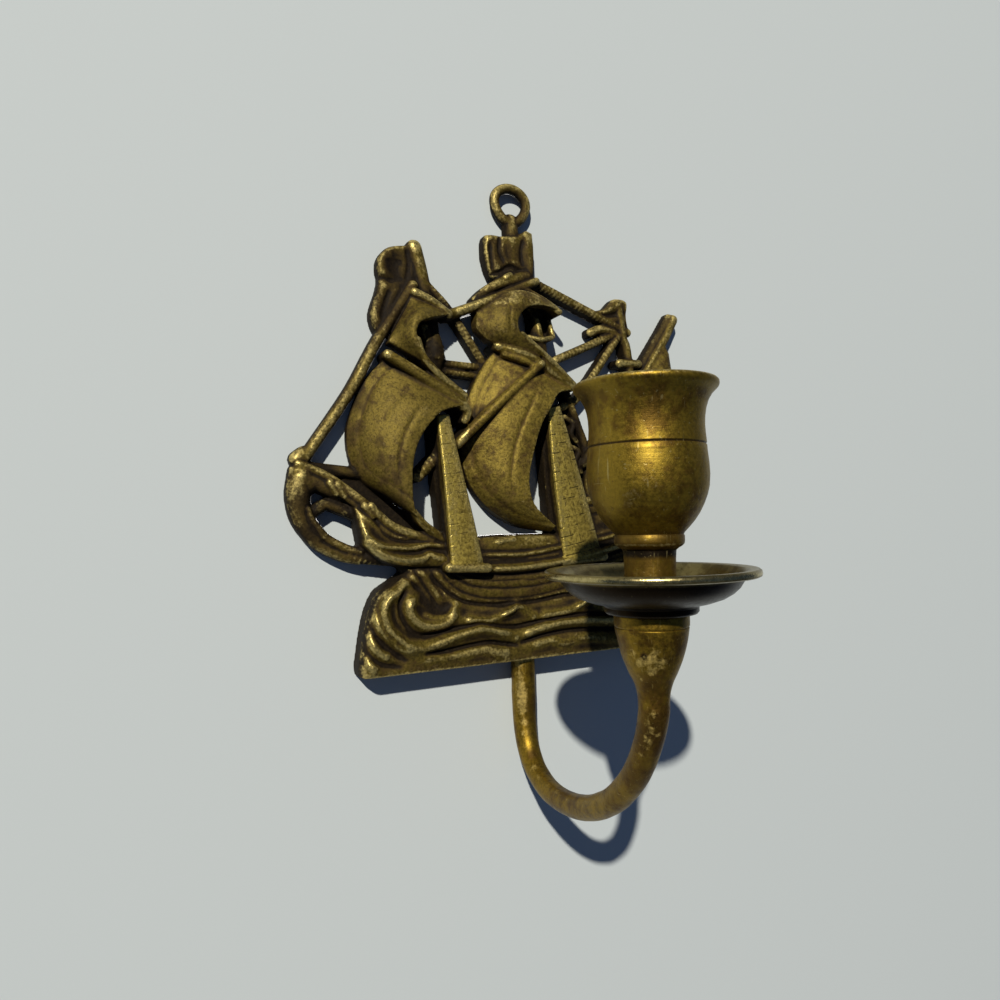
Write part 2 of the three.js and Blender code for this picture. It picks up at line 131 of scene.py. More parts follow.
# The plaque is drawn as a relief: x to the right, y up, z the height above its flat back, in millimetres.
plaque = {
    "bottomEdge": -20.0,
    "sailGauge": 4.6,  # wall of the sails, open behind
    "voxel": 0.36,  # fineness of the casting
    "triangles": 190000,
    "barRows": 0.8,  # spacing of the rows along a bar
    "ropeRows": 0.36,  # and along a rope, for its strands
    "endTurns": (25, 50, 80),  # rows round a bar's end, in degrees
    "lowest": 0.3,  # no side of a bar starts lower
    "hemDepth": 0.42,
    "hemWidth": 0.5,
    "smoothing": 3,
    "grainSize": 5.0,
    "grain": 0.09,
    "flatBelow": 0.12,  # what is lower lies flat on the back
    "backFace": 0.05,  # faces within this of the back are flat ones
    "smoothAngle": 60,
}


def castBar(line, half, strand=0.0, depth=0.08):
    # rounded crest over the line with rounded ends; strand is the pitch of a rope's twist
    startHalf, endHalf = half if isinstance(half, tuple) else (half, half)
    rough = lengthAlong(curveThrough(line, 40))[-1]
    spacing = plaque["ropeRows"] if strand else plaque["barRows"]
    count = max(6, int(rough / spacing))
    crest = curveThrough(line, count)
    along = lengthAlong(crest)
    runs = headings(crest)
    widths = startHalf + (endHalf - startHalf) * along / along[-1]
    lean = np.linspace(-math.pi / 2, math.pi / 2, 13)

    def section(centre, run, width, radius, reach):
        side = np.array([run[1], -run[0]])
        r = radius + 0 * lean
        if strand:
            r = radius * (1 - depth * (0.5 + 0.5 * np.cos(2 * math.pi * reach / strand + 1.6 * lean)))
        across = r * np.sin(lean)
        rise = r * np.cos(lean)
        x = centre[0] + side[0] * across
        y = centre[1] + side[1] * across
        return np.column_stack([x, y, np.maximum(centre[2] - width + rise, plaque["lowest"])])

    def endRow(k, way, angle):
        turn = math.radians(angle)
        spot = crest[k, :2] + way * runs[k] * widths[k] * math.sin(turn)
        return section((*spot, crest[k, 2]), runs[k], widths[k], widths[k] * math.cos(turn), along[k])

    rows = [endRow(0, -1, angle) for angle in reversed(plaque["endTurns"])]
    rows += [section(crest[i], runs[i], widths[i], widths[i], along[i]) for i in range(count)]
    rows += [endRow(-1, 1, angle) for angle in plaque["endTurns"]]
    return layGrid(rows)


def gapTo(path, spots):
    # distance of each spot from a finely stepped path, the share along it, and the nearest point on it
    best = np.full(len(spots), 1e9)
    share = np.zeros(len(spots))
    nearest = np.zeros((len(spots), 2))
    for k in range(len(path) - 1):
        a, b = path[k], path[k + 1]
        run = b - a
        t = np.clip(((spots - a) @ run) / max(run @ run, 1e-9), 0, 1)
        foot = a + t[:, None] * run
        gap = np.linalg.norm(spots - foot, axis=1)
        closer = gap < best
        best[closer] = gap[closer]
        share[closer] = (k + t[closer]) / (len(path) - 1)
        nearest[closer] = foot[closer]
    return best, share, nearest


def castSail(luff, leech, belly, arch=0.0, creases=(), hem=0.0, across=60, down=90):
    # billow between the left edge and the right edge, both from head to foot
    left = curveThrough(luff, down)
    right = curveThrough(leech, down)
    u = np.linspace(0, 1, across)
    rows = []
    for i, v in enumerate(np.linspace(0, 1, down)):
        row = left[i] + (right[i] - left[i]) * u[:, None]
        swell = np.sin(math.pi * u)
        row[:, 2] += belly * swell * math.sqrt(math.sin(math.pi * v))
        row[:, 1] += arch * swell * (1 - v) ** 2
        rows.append(row)
    rows = np.array(rows)
    spots = rows[:, :, :2].reshape(-1, 2)
    for line, deep, wide in creases:
        gap, share, _ = gapTo(curveThrough(line, 40)[:, :2], spots)
        fade = np.clip(np.minimum(share, 1 - share) / 0.2, 0, 1)
        rows[:, :, 2] -= (deep * fade * np.exp(-(gap / wide) ** 2)).reshape(rows.shape[:2])
    if hem:
        gap, _, _ = gapTo(left[:, :2], spots)
        seam = plaque["hemDepth"] * np.exp(-((gap - hem) / plaque["hemWidth"]) ** 2)
        rows[:, :, 2] -= seam.reshape(rows.shape[:2])
    return layGrid(rows)


sails = {
    "foreCourse": {
        "luff": [(-44, 77, 5), (-50, 71, 3.5), (-54.5, 63, 3), (-57.5, 53, 3), (-56.5, 44, 3),
                 (-53.5, 38.5, 3), (-46, 32.5, 3.5), (-37.5, 26.5, 4.5), (-30.5, 20.5, 7)],
        "leech": [(-22, 61.5, 11.5), (-28, 60, 13), (-32.5, 57.5, 14), (-37.5, 51, 14), (-40, 44, 14),
                  (-40.5, 35, 14), (-39.5, 28.5, 13.5), (-36.5, 24.5, 12.5), (-29.5, 19.5, 10.5)],
        "belly": 3,
        "creases": [([(-38.5, 67, 0), (-45.5, 60.5, 0), (-48.5, 54.5, 0)], 0.35, 0.7),
                    ([(-33.5, 65, 0), (-40, 56, 0), (-43.5, 48.5, 0), (-44.5, 39.5, 0),
                      (-43.5, 32, 0)], 0.32, 0.6)],
        "hem": 3.0,
    },
    "foreTopsail": {
        "luff": [(-37, 95.5, 6), (-41, 88, 6), (-45, 80.5, 7)],
        "leech": [(-25.5, 90.5, 8.5), (-32.5, 88, 11.5), (-36.5, 86, 12), (-37.5, 82, 12), (-35.5, 77, 12),
                  (-27, 69.5, 11)],
        "belly": 2,
    },
    "mainCourse": {
        "luff": [(-7, 81.5, 7), (-11.5, 77.5, 6), (-18, 66, 6), (-21, 53, 5), (-20.5, 47, 4), (-19, 40, 4),
                 (-15, 33, 4), (-9, 27.5, 4), (-0.5, 23, 5), (10, 21, 8)],
        "leech": [(18.5, 69, 10.5), (11.5, 67, 13), (8, 62.5, 14), (4, 56, 14), (1, 47.5, 14), (-1, 39, 14),
                  (-0.5, 33, 14), (1.5, 29.5, 13.5), (5, 26.5, 12.5), (10.5, 23, 10.5)],
        "belly": 3,
        "creases": [([(4.5, 70, 0), (0, 61.5, 0), (-4, 53.5, 0), (-6.5, 44.5, 0), (-7, 36.5, 0),
                      (-3.5, 28, 0)], 0.5, 0.6),
                    ([(-7.5, 76.5, 0), (-13.5, 65.5, 0), (-17, 54, 0)], 0.35, 0.6)],
        "hem": 2.6,
    },
    "mainTopsail": {
        "luff": [(-14, 95, 7), (-15.5, 91.5, 7), (-15.5, 87.5, 7.5), (-13, 84, 8.5), (-10, 82.5, 9)],
        "leech": [(14, 95.5, 10.5), (7.5, 96, 12), (1.5, 95, 12), (-2.5, 91, 12.5),
                  (-2, 86, 12.5), (8, 79, 11)],
        "belly": 2,
        "arch": 6,
        "creases": [([(-5.2, 95.6, 0), (-6, 90, 0), (-5.7, 84.4, 0)], 0.35, 0.5)],
    },
    "mizzenSail": {
        "luff": [(62, 90, 5), (56, 81.5, 6), (46.5, 69, 7), (36, 57, 7)],
        "leech": [(64.5, 86, 5), (63, 70, 8.5), (56, 54, 10), (38, 47, 9)],
        "belly": 1.5,
        "creases": [([(58, 80, 0), (54, 68, 0), (46, 56, 0)], 0.4, 1.0)],
    },
}

# spars and ropes: crest line, half width (start, end) and the pitch of a rope's strands
rigging = {
    "foreStay": ([(-36, 99.5, 6), (-47.5, 81.5, 5.5), (-56.5, 65, 5), (-70, 45, 5)], 1.8, 0),
    "foreYard": ([(-45.5, 76.5, 9), (-35, 70, 11), (-22, 61.5, 12)], (1.5, 2.0), 0),
    "foreYardHook": ([(-22, 61.5, 12), (-20.5, 59.5, 11.5), (-21.5, 57, 11)], (1.9, 1.3), 0),
    "foreTopsailFoot": ([(-37, 81, 12), (-35, 75.5, 12), (-29.5, 70, 12), (-22, 64.5, 12)], (0.9, 1.4), 0),
    "foreTopsailHead": ([(-36, 97, 7.5), (-30.5, 94.5, 8), (-25, 91, 8)], 1.4, 0),
    "topgallantYard": ([(-24, 91.4, 7), (-10.7, 96.9, 8.6), (7.5, 105.8, 7.4)], (1.7, 1.4), 0),
    "mainTopsailHead": ([(3, 101.5, 8), (9, 98.5, 9.5), (14, 95, 11)], (1.8, 1.1), 0),
    "mainUpperYard": ([(-8.6, 81.8, 10), (-1.9, 80, 11.6), (4.5, 77.6, 11.8), (18.5, 69.9, 11)],
                      (1.6, 1.5), 0),
    "mainUpperRoll": ([(-6.4, 79.4, 10.2), (-1.2, 77.6, 11.6), (4, 75.6, 11.8)], (1.3, 1.0), 0),
    "mainTopsailFoot": ([(-1, 86, 12), (9.5, 78, 12), (19, 70.5, 11)], (0.8, 1.3), 0),
    "mainYard": ([(-24, 49.5, 10.5), (-10.5, 62.5, 13), (5.5, 76.5, 13)], (1.6, 1.4), 0),
    "mizzenStay": ([(7.5, 106, 5.5), (25.5, 100, 5), (46.5, 92.5, 5)], 1.7, 1.6),
    "mainStay": ([(-32, 101, 5.5), (-23, 92.5, 5), (-12, 77, 5)], 1.5, 1.5),
    "upperLine": ([(-27, 76, 4.5), (-11, 75.5, 4.5)], 1.3, 1.5),
    "lowerLine": ([(-27.5, 73.5, 4.5), (-14, 72.5, 4.5)], 1.1, 1.5),
    "mizzenBraceUpper": ([(41, 91.5, 5), (15.5, 80, 5)], 1.5, 1.5),
    "mizzenBraceLower": ([(42, 90.5, 5.5), (25, 68.5, 5.5), (18, 64, 5.5)], 1.5, 1.5),
    "mizzenFurl": ([(30.6, 91.2, 4.6), (35, 92.6, 5), (40, 92, 5)], (1.6, 1.9), 0),
    "mizzenShroud": ([(19, 69, 6), (24, 58, 5), (27, 49, 5), (27.5, 30, 6)], 1.5, 1.5),
    "lateenYard": ([(25, 44.5, 7), (46.5, 69, 7), (62, 90, 5.5), (68, 99.5, 5)], (1.8, 2.1), 0),
    "sternLoopUpper": ([(18.5, 60.5, 5), (21.4, 58, 6), (20.4, 54.6, 6), (22.8, 52, 5.4)], 0.9, 0),
    "sternLoopLower": ([(20, 50.5, 5), (23.4, 48.4, 6), (21.8, 45, 6), (24.4, 41.5, 5.4)], 0.9, 0),
    "lateenBlade": ([(50, 76.6, 5), (60.6, 91, 4.4), (66.8, 99.8, 4.2)], (1.9, 2.2), 0),
    "foreClew": ([(-39.4, 28.6, 12), (-36, 24.6, 11.4), (-29.5, 19.8, 10)], (1.0, 1.7), 0),
    "bowLine": ([(-68, 42, 4), (-54, 40.5, 4)], 1.9, 0),
    "foreSheet": ([(-36, 39.5, 7), (-28, 47.5, 8.6)], 1.9, 1.7),
    "foreMast": ([(-35, 112, 5.5), (-32.5, 101.5, 5.5), (-29, 81, 5.5), (-29.8, 52.5, 6), (-27.4, 20, 7.5)],
                 (2.7, 1.5), 0),
    "mainMast": ([(5.5, 122, 5), (6, 107, 5.5), (8, 88, 5.5), (10, 56, 6), (12.6, 20, 7)], (1.7, 1.9), 0),
    "mizzenMast": ([(43, 103, 4.5), (44, 91, 5.5), (46, 81, 6), (48, 32, 8)], (1.6, 2.2), 0),
    "foreTopKnob": ([(-32, 86.5, 5.6), (-31.2, 82.6, 6.2)], (1.6, 1.9), 0),
    "foreTopBarrel": ([(-29.4, 83.4, 6.2), (-29.1, 78.8, 7.4), (-29.6, 75, 6.4)], (2.8, 3.4), 0),
    "foreTopRoll": ([(-31.6, 80.6, 5.8), (-29.2, 80.4, 7.5), (-26.8, 80.6, 5.8)], 0.8, 0),
    "foreTopRollLower": ([(-32, 77.4, 5.8), (-29.3, 77.1, 7.6), (-26.6, 77.4, 5.8)], 0.9, 0),
    "mainTopBack": ([(9.6, 96, 3.2), (10.4, 88, 3.2)], 3.6, 0),
    "mainTopPole": ([(6.2, 96.5, 5), (7.9, 92.2, 6), (9, 87, 6.4)], 1.3, 0),
    "mainTopWall": ([(12.4, 95.5, 5), (13.3, 91.6, 5.6), (13.9, 87.6, 6.4)], 0.9, 0),
    "mainTopBowl": ([(8.7, 84.4, 6.6), (9.4, 82, 6.4), (10.2, 79.6, 6)], (3.6, 2.2), 0),
    "mainTopRim": ([(4.2, 86.6, 6.6), (8.4, 85.9, 7.6), (12.8, 87, 6.8)], 0.9, 0),
    "mizzenTop": ([(41.5, 80.6, 6.5), (50, 81, 6.5)], 1.6, 0),
}


def smoothOutline(*runs):
    # corner points and smooth runs, one after the other
    made = []
    for run in runs:
        points = curveThrough(run, 6 * len(run)) if len(run) > 2 else np.array(run, dtype=float)
        made += [tuple(p) for p in points]
    return made


flags = {
    "depth": 3.2,  # height of the edge
    "edge": 1.2,  # width of its rounding
    "cell": 0.4,
    "fore": {
        "outline": smoothOutline([(-35, 113), (-42.5, 111.4), (-45.4, 109.5), (-47, 107),
                                  (-47.4, 103.5), (-46.8, 101), (-47.6, 97), (-49, 93), (-49.8, 89.5),
                                  (-49.2, 86), (-47, 82.5)],
                                 [(-44, 84), (-34, 100)]),
        "ground": 4.4,
        "crests": [([(-39.5, 111), (-43, 109.9), (-45.4, 107.4), (-46, 104), (-45.4, 101.6)], 0.4, 1.8),
                   ([(-44.5, 99.2), (-46.2, 95), (-47.8, 90.5), (-47.8, 86)], 0.5, 1.7),
                   ([(-41.2, 99), (-43, 94), (-44.5, 88.5)], 0.35, 1.4)],
        "cuts": [([(-47.4, 100.7), (-45.1, 100.8), (-42.5, 100.2)], 0.7, 0.8),
                 ([(-41.8, 107.5), (-41.6, 104), (-40.8, 100)], 0.7, 2.4),
                 ([(-37.9, 111), (-37.3, 106.4), (-38, 101)], 0.6, 0.7),
                 ([(-43.6, 97.5), (-45.2, 93), (-46.4, 88)], 0.5, 0.8)],
    },
    "main": {
        "outline": smoothOutline([(-4.5, 120.4), (-8.5, 120.3), (-10.6, 119.2), (-11, 114),
                                  (-10, 109.5), (-8.5, 106)],
                                 [(-4, 104), (8, 107)], [(8, 107), (8.1, 117.5), (7.6, 123.3)],
                                 [(4.6, 123.4), (1.5, 121.3)]),
        "ground": 4.8,
        "crests": [([(-7.5, 119.2), (-10, 117.6), (-10.5, 115), (-10, 112), (-9.6, 108)], 0.35, 0.8),
                   ([(-7.5, 118.4), (-7.6, 113.7), (-6.9, 111), (-5.8, 109)], 0.3, 1.0),
                   ([(-3.9, 118.6), (-4.5, 115), (-3.8, 112.3), (-2.6, 110.8)], 0.3, 0.8),
                   ([(-0.6, 119.5), (-0.8, 115), (0, 111)], 0.3, 1.9),
                   ([(5.6, 122), (5.4, 114), (6, 109)], 0.4, 1.5)],
        "cuts": [([(-8.9, 116.6), (-8.7, 112), (-8.3, 108)], 0.55, 0.7),
                 ([(-5.2, 119.9), (-5.6, 116), (-5.2, 114), (-3.9, 111.5)], 0.8, 0.6),
                 ([(3.6, 119.8), (2.7, 116), (3, 111.5)], 0.6, 0.7),
                 ([(-9.6, 106.4), (-5.2, 108), (-2.6, 109.8), (-0.9, 110.2), (2.6, 109),
                   (5.4, 108.4)], 1.0, 0.7)],
    },
    "mizzen": {
        "outline": smoothOutline([(28, 98.5), (33, 99.3), (36.5, 100.5), (38.5, 102.4), (40.5, 104.2),
                                  (43, 104.7), (45.6, 104.5), (47, 103), (46.4, 98),
                                  (47.5, 93)], [(38, 94)]),
        "ground": 4.0,
        "crests": [([(30, 98), (37, 99.3), (44, 103)], 0.8, 1.3), ([(36, 96.2), (45.5, 97)], 0.6, 1.2)],
        "cuts": [([(33, 97), (40, 98.4), (46, 100)], 0.6, 0.8)],
    },
    "folds": [
        ([(-14.6, 97.4, 5.8), (-11, 100.6, 7), (-5.6, 103.6, 7.4), (-0.6, 105.4, 7),
          (4.4, 107.4, 6)], (1.4, 2.4)),
        ([(-4.2, 105.4, 7.4), (-2.4, 106.6, 7)], 1.2),
        ([(0.5, 126.8, 3.6), (0.5, 124, 4.0), (0.5, 121.5, 4.2)], (2.9, 2.7)),
    ],
}

hull = {
    "deck": [(-57, 31), (-50, 26.5), (-41, 21.5), (-28, 19.5), (12, 20.5), (32, 22.5), (58, 28.5)],
    "wale": [(-55.5, 19), (-48.5, 15), (-42, 13.5), (-30, 12.5), (-12, 9.8), (9, 10.4),
             (31, 14.5), (59, 21.5)],
    "outline": smoothOutline([(-57, 30.6), (-50, 26.5), (-41, 21.5), (-28, 19.5), (-11, 20.6), (12, 20.5)],
                             [(22, 21.5), (23, 32.5)],
                             [(40, 34.5), (60, 39)], [(61, 30), (58.5, 19.5)],
                             [(31, 12.4), (9, 8.6), (-12, 8), (-30, 10.6), (-43, 11.8), (-50, 14.2),
                              (-54.8, 18.6)]),
    "depth": 6.0,
    "edge": 1.4,
    "crown": 10.6,  # height at the wale
    "fallToDeck": 1.8,
    "fallToKeel": 1.2,
    "quarterFall": 0.6,
    "quarterHigh": 10,
    "crests": [
        ([(-55.4, 24.5), (-53.2, 20.6), (-48.7, 18.4), (-41.9, 17.7), (-36.6, 18.2), (-33.8, 18.7),
          (-28.3, 18)], 1.5, 1.3),
        ([(-53.4, 19.6), (-47.9, 15.6), (-42.2, 14.2), (-36.8, 14.5), (-34.6, 15.4), (-32.5, 14.6),
          (-27.5, 13.5)], 1.6, 1.4),
        ([(-53, 29), (-47, 25), (-43, 22.4), (-39, 20.8), (-31, 19.8)], 0.6, 0.7),
        ([(-54.5, 27.6), (-49.5, 23.6), (-44, 20.8), (-37, 20.2)], 0.5, 0.6),
        ([(-16.4, 10.1), (-5.7, 9.8), (4.2, 10.4), (12, 11.3), (31, 14.6), (58, 21.3)], 1.6, 1.2),
        ([(-16.8, 14.7), (-4.8, 14.2), (3, 14.7), (11.7, 15.9), (31, 18.6), (58, 25)], 0.6, 0.6),
        ([(-11.9, 18.3), (-8.3, 18.8), (-4, 19.3)], 0.8, 0.7),
        ([(-17, 17.4), (-6, 17.2), (3, 17.2), (12, 17.5), (31, 20.2), (58, 26.2)], 0.4, 1.6),
        ([(23.5, 32.4), (40, 34.2), (59.5, 38.6)], 1.0, 1.1),
    ],
    "cuts": [
        ([(-55, 22), (-51.5, 18.6), (-47.5, 16.9), (-39, 16.1), (-34.7, 16.9), (-28.1, 15.8)], 0.9, 0.6),
        ([(-51.4, 26.8), (-48.6, 22.8), (-44.5, 20.2), (-38, 19.7), (-30, 19.3)], 0.9, 0.5),
        ([(-50, 26.4), (-46.6, 23.8), (-42, 21.4), (-36, 20.6)], 0.6, 0.45),
        ([(-16, 12.2), (-7, 11.9), (2, 12.1), (12.5, 13), (31, 16.2), (58, 22.7)], 0.8, 0.5),
        ([(-16.6, 13.5), (-4.8, 13), (3, 13.5), (11.7, 14.6), (31, 17.4), (58, 23.9)], 0.6, 0.4),
        ([(-17, 15.8), (-4.8, 15.3), (3, 15.7), (11.7, 16.8), (31, 19.6), (58, 26)], 0.5, 0.5),
        ([(24, 29.5), (40, 31.4), (59, 35)], 0.8, 0.5), ([(24, 26.4), (40, 28.4), (59, 31.8)], 0.7, 0.5),
    ],
}

# thin webs left between the forms; the bow web is a dark sheet set where the gap behind the bow lies in
# shade: painted shade
webs = {
    "bow": [(-57, 43), (-53.5, 39.5), (-46, 33.5), (-37.5, 27.5), (-30, 21), (-32, 18.5), (-45, 23),
            (-52, 29), (-57.5, 33.6), (-60, 37)],
    "stern": [(17.2, 64), (20.4, 64), (26.6, 50), (27.6, 36), (24, 33), (19, 45)],
    "height": 2.2,
    "depth": 1.6,
    "edge": 1.0,
}

sea = {
    "outline": smoothOutline([(-45, 12.6), (-41.6, 10.4), (-45.5, 7.6), (-50, 4.5), (-52.8, -1),
                              (-54.6, -8.5), (-56, -17.5)],
                             [(-55.5, -21.8), (49, -21.8)],
                             [(52, -17), (52.5, -9), (50.4, -1), (51.5, 4), (57, 15), (59, 20)],
                             [(31, 13.6), (9, 9.8), (-12, 9.2), (-30, 11.8)]),
    "depth": 6.0,
    "edge": 3.0,
    "hullFoot": 9.4,  # height of the planks at the water
    "hullRise": 0.9,
    "ground": 9.6,  # height of the water
    "groundRise": 0.5,
    "risesOver": 8,
    "waterline": [(-44, 11.5), (-35, 7), (-26.5, 3.5), (-20.5, 0.5), (-14.5, -1), (-3.5, -1), (6.5, -1.5),
                  (16.5, -0.5), (52, 8)],
    "crests": [
        ([(-42.4, 7.6), (-45.6, 5), (-48.3, 2), (-49.1, -1.4), (-47.9, -5.4), (-45.9, -7.9), (-42, -11),
          (-37.8, -12.3), (-33.5, -11.8), (-29.6, -10.9), (-26.3, -10), (-21.1, -8.9), (-15.4, -8.9),
          (-10.1, -10.2), (-6.5, -11.7)], 2.2, 1.9),
        ([(-39.4, 3.2), (-41.3, 0.1), (-40.4, -3), (-37.6, -5.3), (-33.9, -6.1), (-30.6, -5.7), (-27.8, -4),
          (-26.5, -1)], 2.4, 1.9),
        ([(-36.8, -2.6), (-33.1, -3.5), (-29.2, -3.2), (-26.4, -0.9)], 0.8, 0.6),
        ([(-42.8, 6.4), (-45, 2.6), (-45, -2), (-42.8, -5.8), (-39.4, -8.2)], 0.5, 0.8),
        ([(-47.4, 6.6), (-51, 3), (-52.4, -0.2), (-51.2, -4.3), (-48.2, -8.2), (-44.1, -11.8),
          (-39.9, -14)], 1.5, 1.6),
        ([(-54.4, -6), (-53.2, -9.5), (-50.6, -12.7), (-47.5, -14.5)], 1.5, 1.4),
        ([(-55.4, -13.5), (-54, -16), (-51.6, -18)], 1.2, 1.3),
        ([(-24, -5.2), (-19, -5.8), (-15, -5.9), (-10, -4.6), (-4.5, -2.2)], 1.7, 1.6),
        ([(-10.5, -4.6), (-7, -3.4), (-4.5, -2)], 0.8, 0.7),
        ([(-4.5, -2.2), (-1.2, -4.7), (1.9, -6.6)], 1.0, 1.8),
        ([(2.5, -6.6), (9, -6), (14.5, -5.2), (19, -3.7), (22.5, -1.6)], 1.6, 1.8),
        ([(17, -4.2), (20, -2.9), (22.5, -1.4)], 0.8, 0.7),
        ([(22.5, -1.6), (26, -4), (31, -6)], 1.0, 1.8),
        ([(29, -5.4), (36, -4.6), (42, -3), (47.5, 0.5)], 1.6, 1.8),
        ([(-5, -12.2), (0.9, -10.6), (5.9, -9.7), (12.3, -9), (20.9, -9), (34, -9.8), (48, -9)], 1.9, 1.7),
        ([(-40.3, -16), (-32.3, -16.2), (-23.9, -15.9), (-18.2, -15.6), (-12.4, -16.4),
          (-6.4, -17)], 1.0, 2.0),
        ([(-2, -16), (6.1, -14.8), (12.5, -15.8), (21.1, -15.2), (34, -16.4), (47, -15.4)], 1.1, 1.7),
    ],
    "cuts": [
        ([(-42.5, 5), (-44, 1.1), (-43.4, -3.6), (-40.7, -7.3), (-36.6, -9.1), (-31.5, -8.8)], 1.0, 0.9),
        ([(-36.6, -9.1), (-28.9, -8.1), (-23.3, -7.4), (-18.7, -6.9), (-14.6, -7.6), (-9.9, -8.6),
          (-3.8, -8.9), (4.3, -7.8), (13.3, -7.2), (22, -7.2), (34, -7.8), (48, -7)], 1.7, 0.7),
        ([(-36.2, -14.4), (-29.1, -14.3), (-21.7, -13.5), (-14.8, -13.2), (-10.1, -14),
          (-5.5, -14.8)], 1.7, 0.65),
        ([(-3.4, -14), (4.1, -12.7), (13.2, -12), (21.8, -12.2), (34, -13), (48, -12.2)], 1.4, 0.65),
        ([(-48.6, 5), (-50.6, 1.6), (-50.8, -2.4), (-49.3, -6.2), (-46.2, -9.6), (-43.2, -12)], 0.9, 0.6),
        ([(-53, -3.4), (-52, -7.4), (-49.6, -10.4), (-46.6, -13), (-43, -15.5)], 0.9, 0.9),
        ([(-55, -10.4), (-53.8, -13), (-50.4, -16), (-44, -17.6)], 0.8, 0.8),
        ([(-44, 11), (-41, 8.2), (-38, 5)], 0.9, 0.6),
        ([(-40, 11.5), (-36.8, 7.4), (-34, 3.2), (-32, -0.6)], 0.7, 0.5),
        ([(-36.2, 11.5), (-32.5, 6.2), (-29.6, 2)], 0.7, 0.5),
        ([(-34, 10.4), (-31.9, 7), (-27.6, 3), (-22, 0), (-12.7, -1.5), (-5.5, -1.5), (3.8, -1.3),
          (12.2, -0.2), (17.5, 0.2), (34, 3.4), (52, 8)], 1.4, 0.6),
        ([(-31, 10.4), (-28.6, 7.2), (-24.2, 3.8), (-17.4, 1.3), (-8.5, 0.3), (0.7, 0.3), (12.2, 2),
          (31, 6), (54, 11)], 0.5, 0.4),
        ([(-28.5, 10.5), (-25.9, 8.1), (-20.3, 5.1), (-11.5, 3.8), (-2.4, 3.5), (7, 4.3), (31, 8.4),
          (56, 14)], 0.6, 0.45),
        ([(-24.5, 8.8), (-14.5, 6.5), (-4, 6.1), (6.5, 6.3), (31, 10.6), (57, 17)], 0.4, 0.4),
    ],
    "scoop": ([(-37.6, 4.5), (-34.6, 1), (-31.4, -1), (-29, -1.4)], 1.3, 2.6),
}

bow = [
    ([(-72, 44.5, 5), (-70, 46, 5)], 2.6, 0),
    ([(-72, 43, 5.5), (-63.5, 39, 6.5), (-52, 30, 8.5), (-45, 24, 9.5), (-33, 19.5, 10)], (1.4, 1.6), 0),
    ([(-71, 40.4, 6), (-69.4, 37.4, 6.2)], (3.9, 3.6), 0),
    ([(-70.8, 39.6, 6.2), (-72, 33.5, 6.4), (-71, 27, 5.8), (-67, 20.9, 5.4)], (4.2, 2.6), 0),
    ([(-69.6, 30, 6.2), (-68.6, 27, 6.2), (-65, 21.9, 5.9)], (0.7, 1.3), 0),
    ([(-72, 26.6, 5.2), (-67.4, 20.4, 5.2), (-60.2, 16.2, 5.6), (-55, 14.8, 6.2)], (2.1, 1.8), 0),
    ([(-69.2, 27.6, 5.6), (-65.2, 22, 5.6), (-58.8, 18.2, 6.2), (-54.6, 17, 6.8)], (1.5, 1.2), 0),
    ([(-58.5, 16.2, 6), (-54, 15.2, 6.6), (-45, 14, 7.5)], (2.2, 1.9), 1.6),
    ([(-69, 38.5, 6), (-60, 34.5, 6.5)], 2.5, 0),
    ([(-70, 27, 4.5), (-66.5, 30, 5), (-63, 31, 5), (-54.5, 27.5, 6)], 1.8, 0),
    ([(-63.4, 37.6, 7.4), (-61.4, 34.4, 7.2)], 1.1, 0),
    ([(-61.4, 37, 7.6), (-59.2, 33.6, 7.4)], 1.1, 0),
    ([(-53.8, 30.6, 9.2), (-51.4, 27.4, 9.2)], 1.1, 0),
    ([(-51.9, 30.6, 9.6), (-49.6, 27.6, 9.4)], 1.1, 0),
    ([(-58.5, 33, 7), (-55.5, 30.5, 7.6), (-53.5, 27.5, 8)], 1.0, 0),
]

shrouds = {
    "fore": {"line": [(-29, 58.5, 10.5), (-26, 35, 12.5), (-23, 12, 13.5)], "half": (2.0, 5.4),
             "columns": 3, "shows": 0.45},
    "main": {"line": [(11.5, 63, 9.5), (15, 41.5, 10.5), (20.5, 11.5, 11.5)], "half": (2.4, 7.6),
             "columns": 4, "shows": 1.0},
    "ledges": [([(-29, 11.2, 14), (-16, 10.5, 14)], 1.5), ([(12.5, 11, 12), (29, 12, 12)], 1.5)],
    "rung": 3.1,
    "steps": 90,
    "bright": (0.46, 0.35, 0.07, 1),
    "incised": (0.03, 0.02, 0.01, 1),
}

ring = {"centre": (0.5, 133.0), "halfWide": 6.0, "halfHigh": 5.0, "tip": 126.0, "bar": 1.7}


def shaped(spots, height, lines, sign):
    # soft crests (+) and cut lines (-) that die away at their ends
    for line, rise, wide in lines:
        gap, share, _ = gapTo(curveThrough(line, 8 * len(line))[:, :2], spots)
        fade = np.clip(np.minimum(share, 1 - share) / 0.1, 0, 1) * 0.6 + 0.4
        height = height + sign * rise * fade * np.exp(-(gap / wide) ** 2)
    return height


def insideOf(outline, spots):
    inside = np.zeros(len(spots), dtype=bool)
    for (ax, ay), (bx, by) in zip(outline, outline[1:] + outline[:1]):
        if ay != by:
            crosses = ((ay > spots[:, 1]) != (by > spots[:, 1]))
            inside ^= crosses & (spots[:, 0] < (bx - ax) * (spots[:, 1] - ay) / (by - ay) + ax)
    return inside


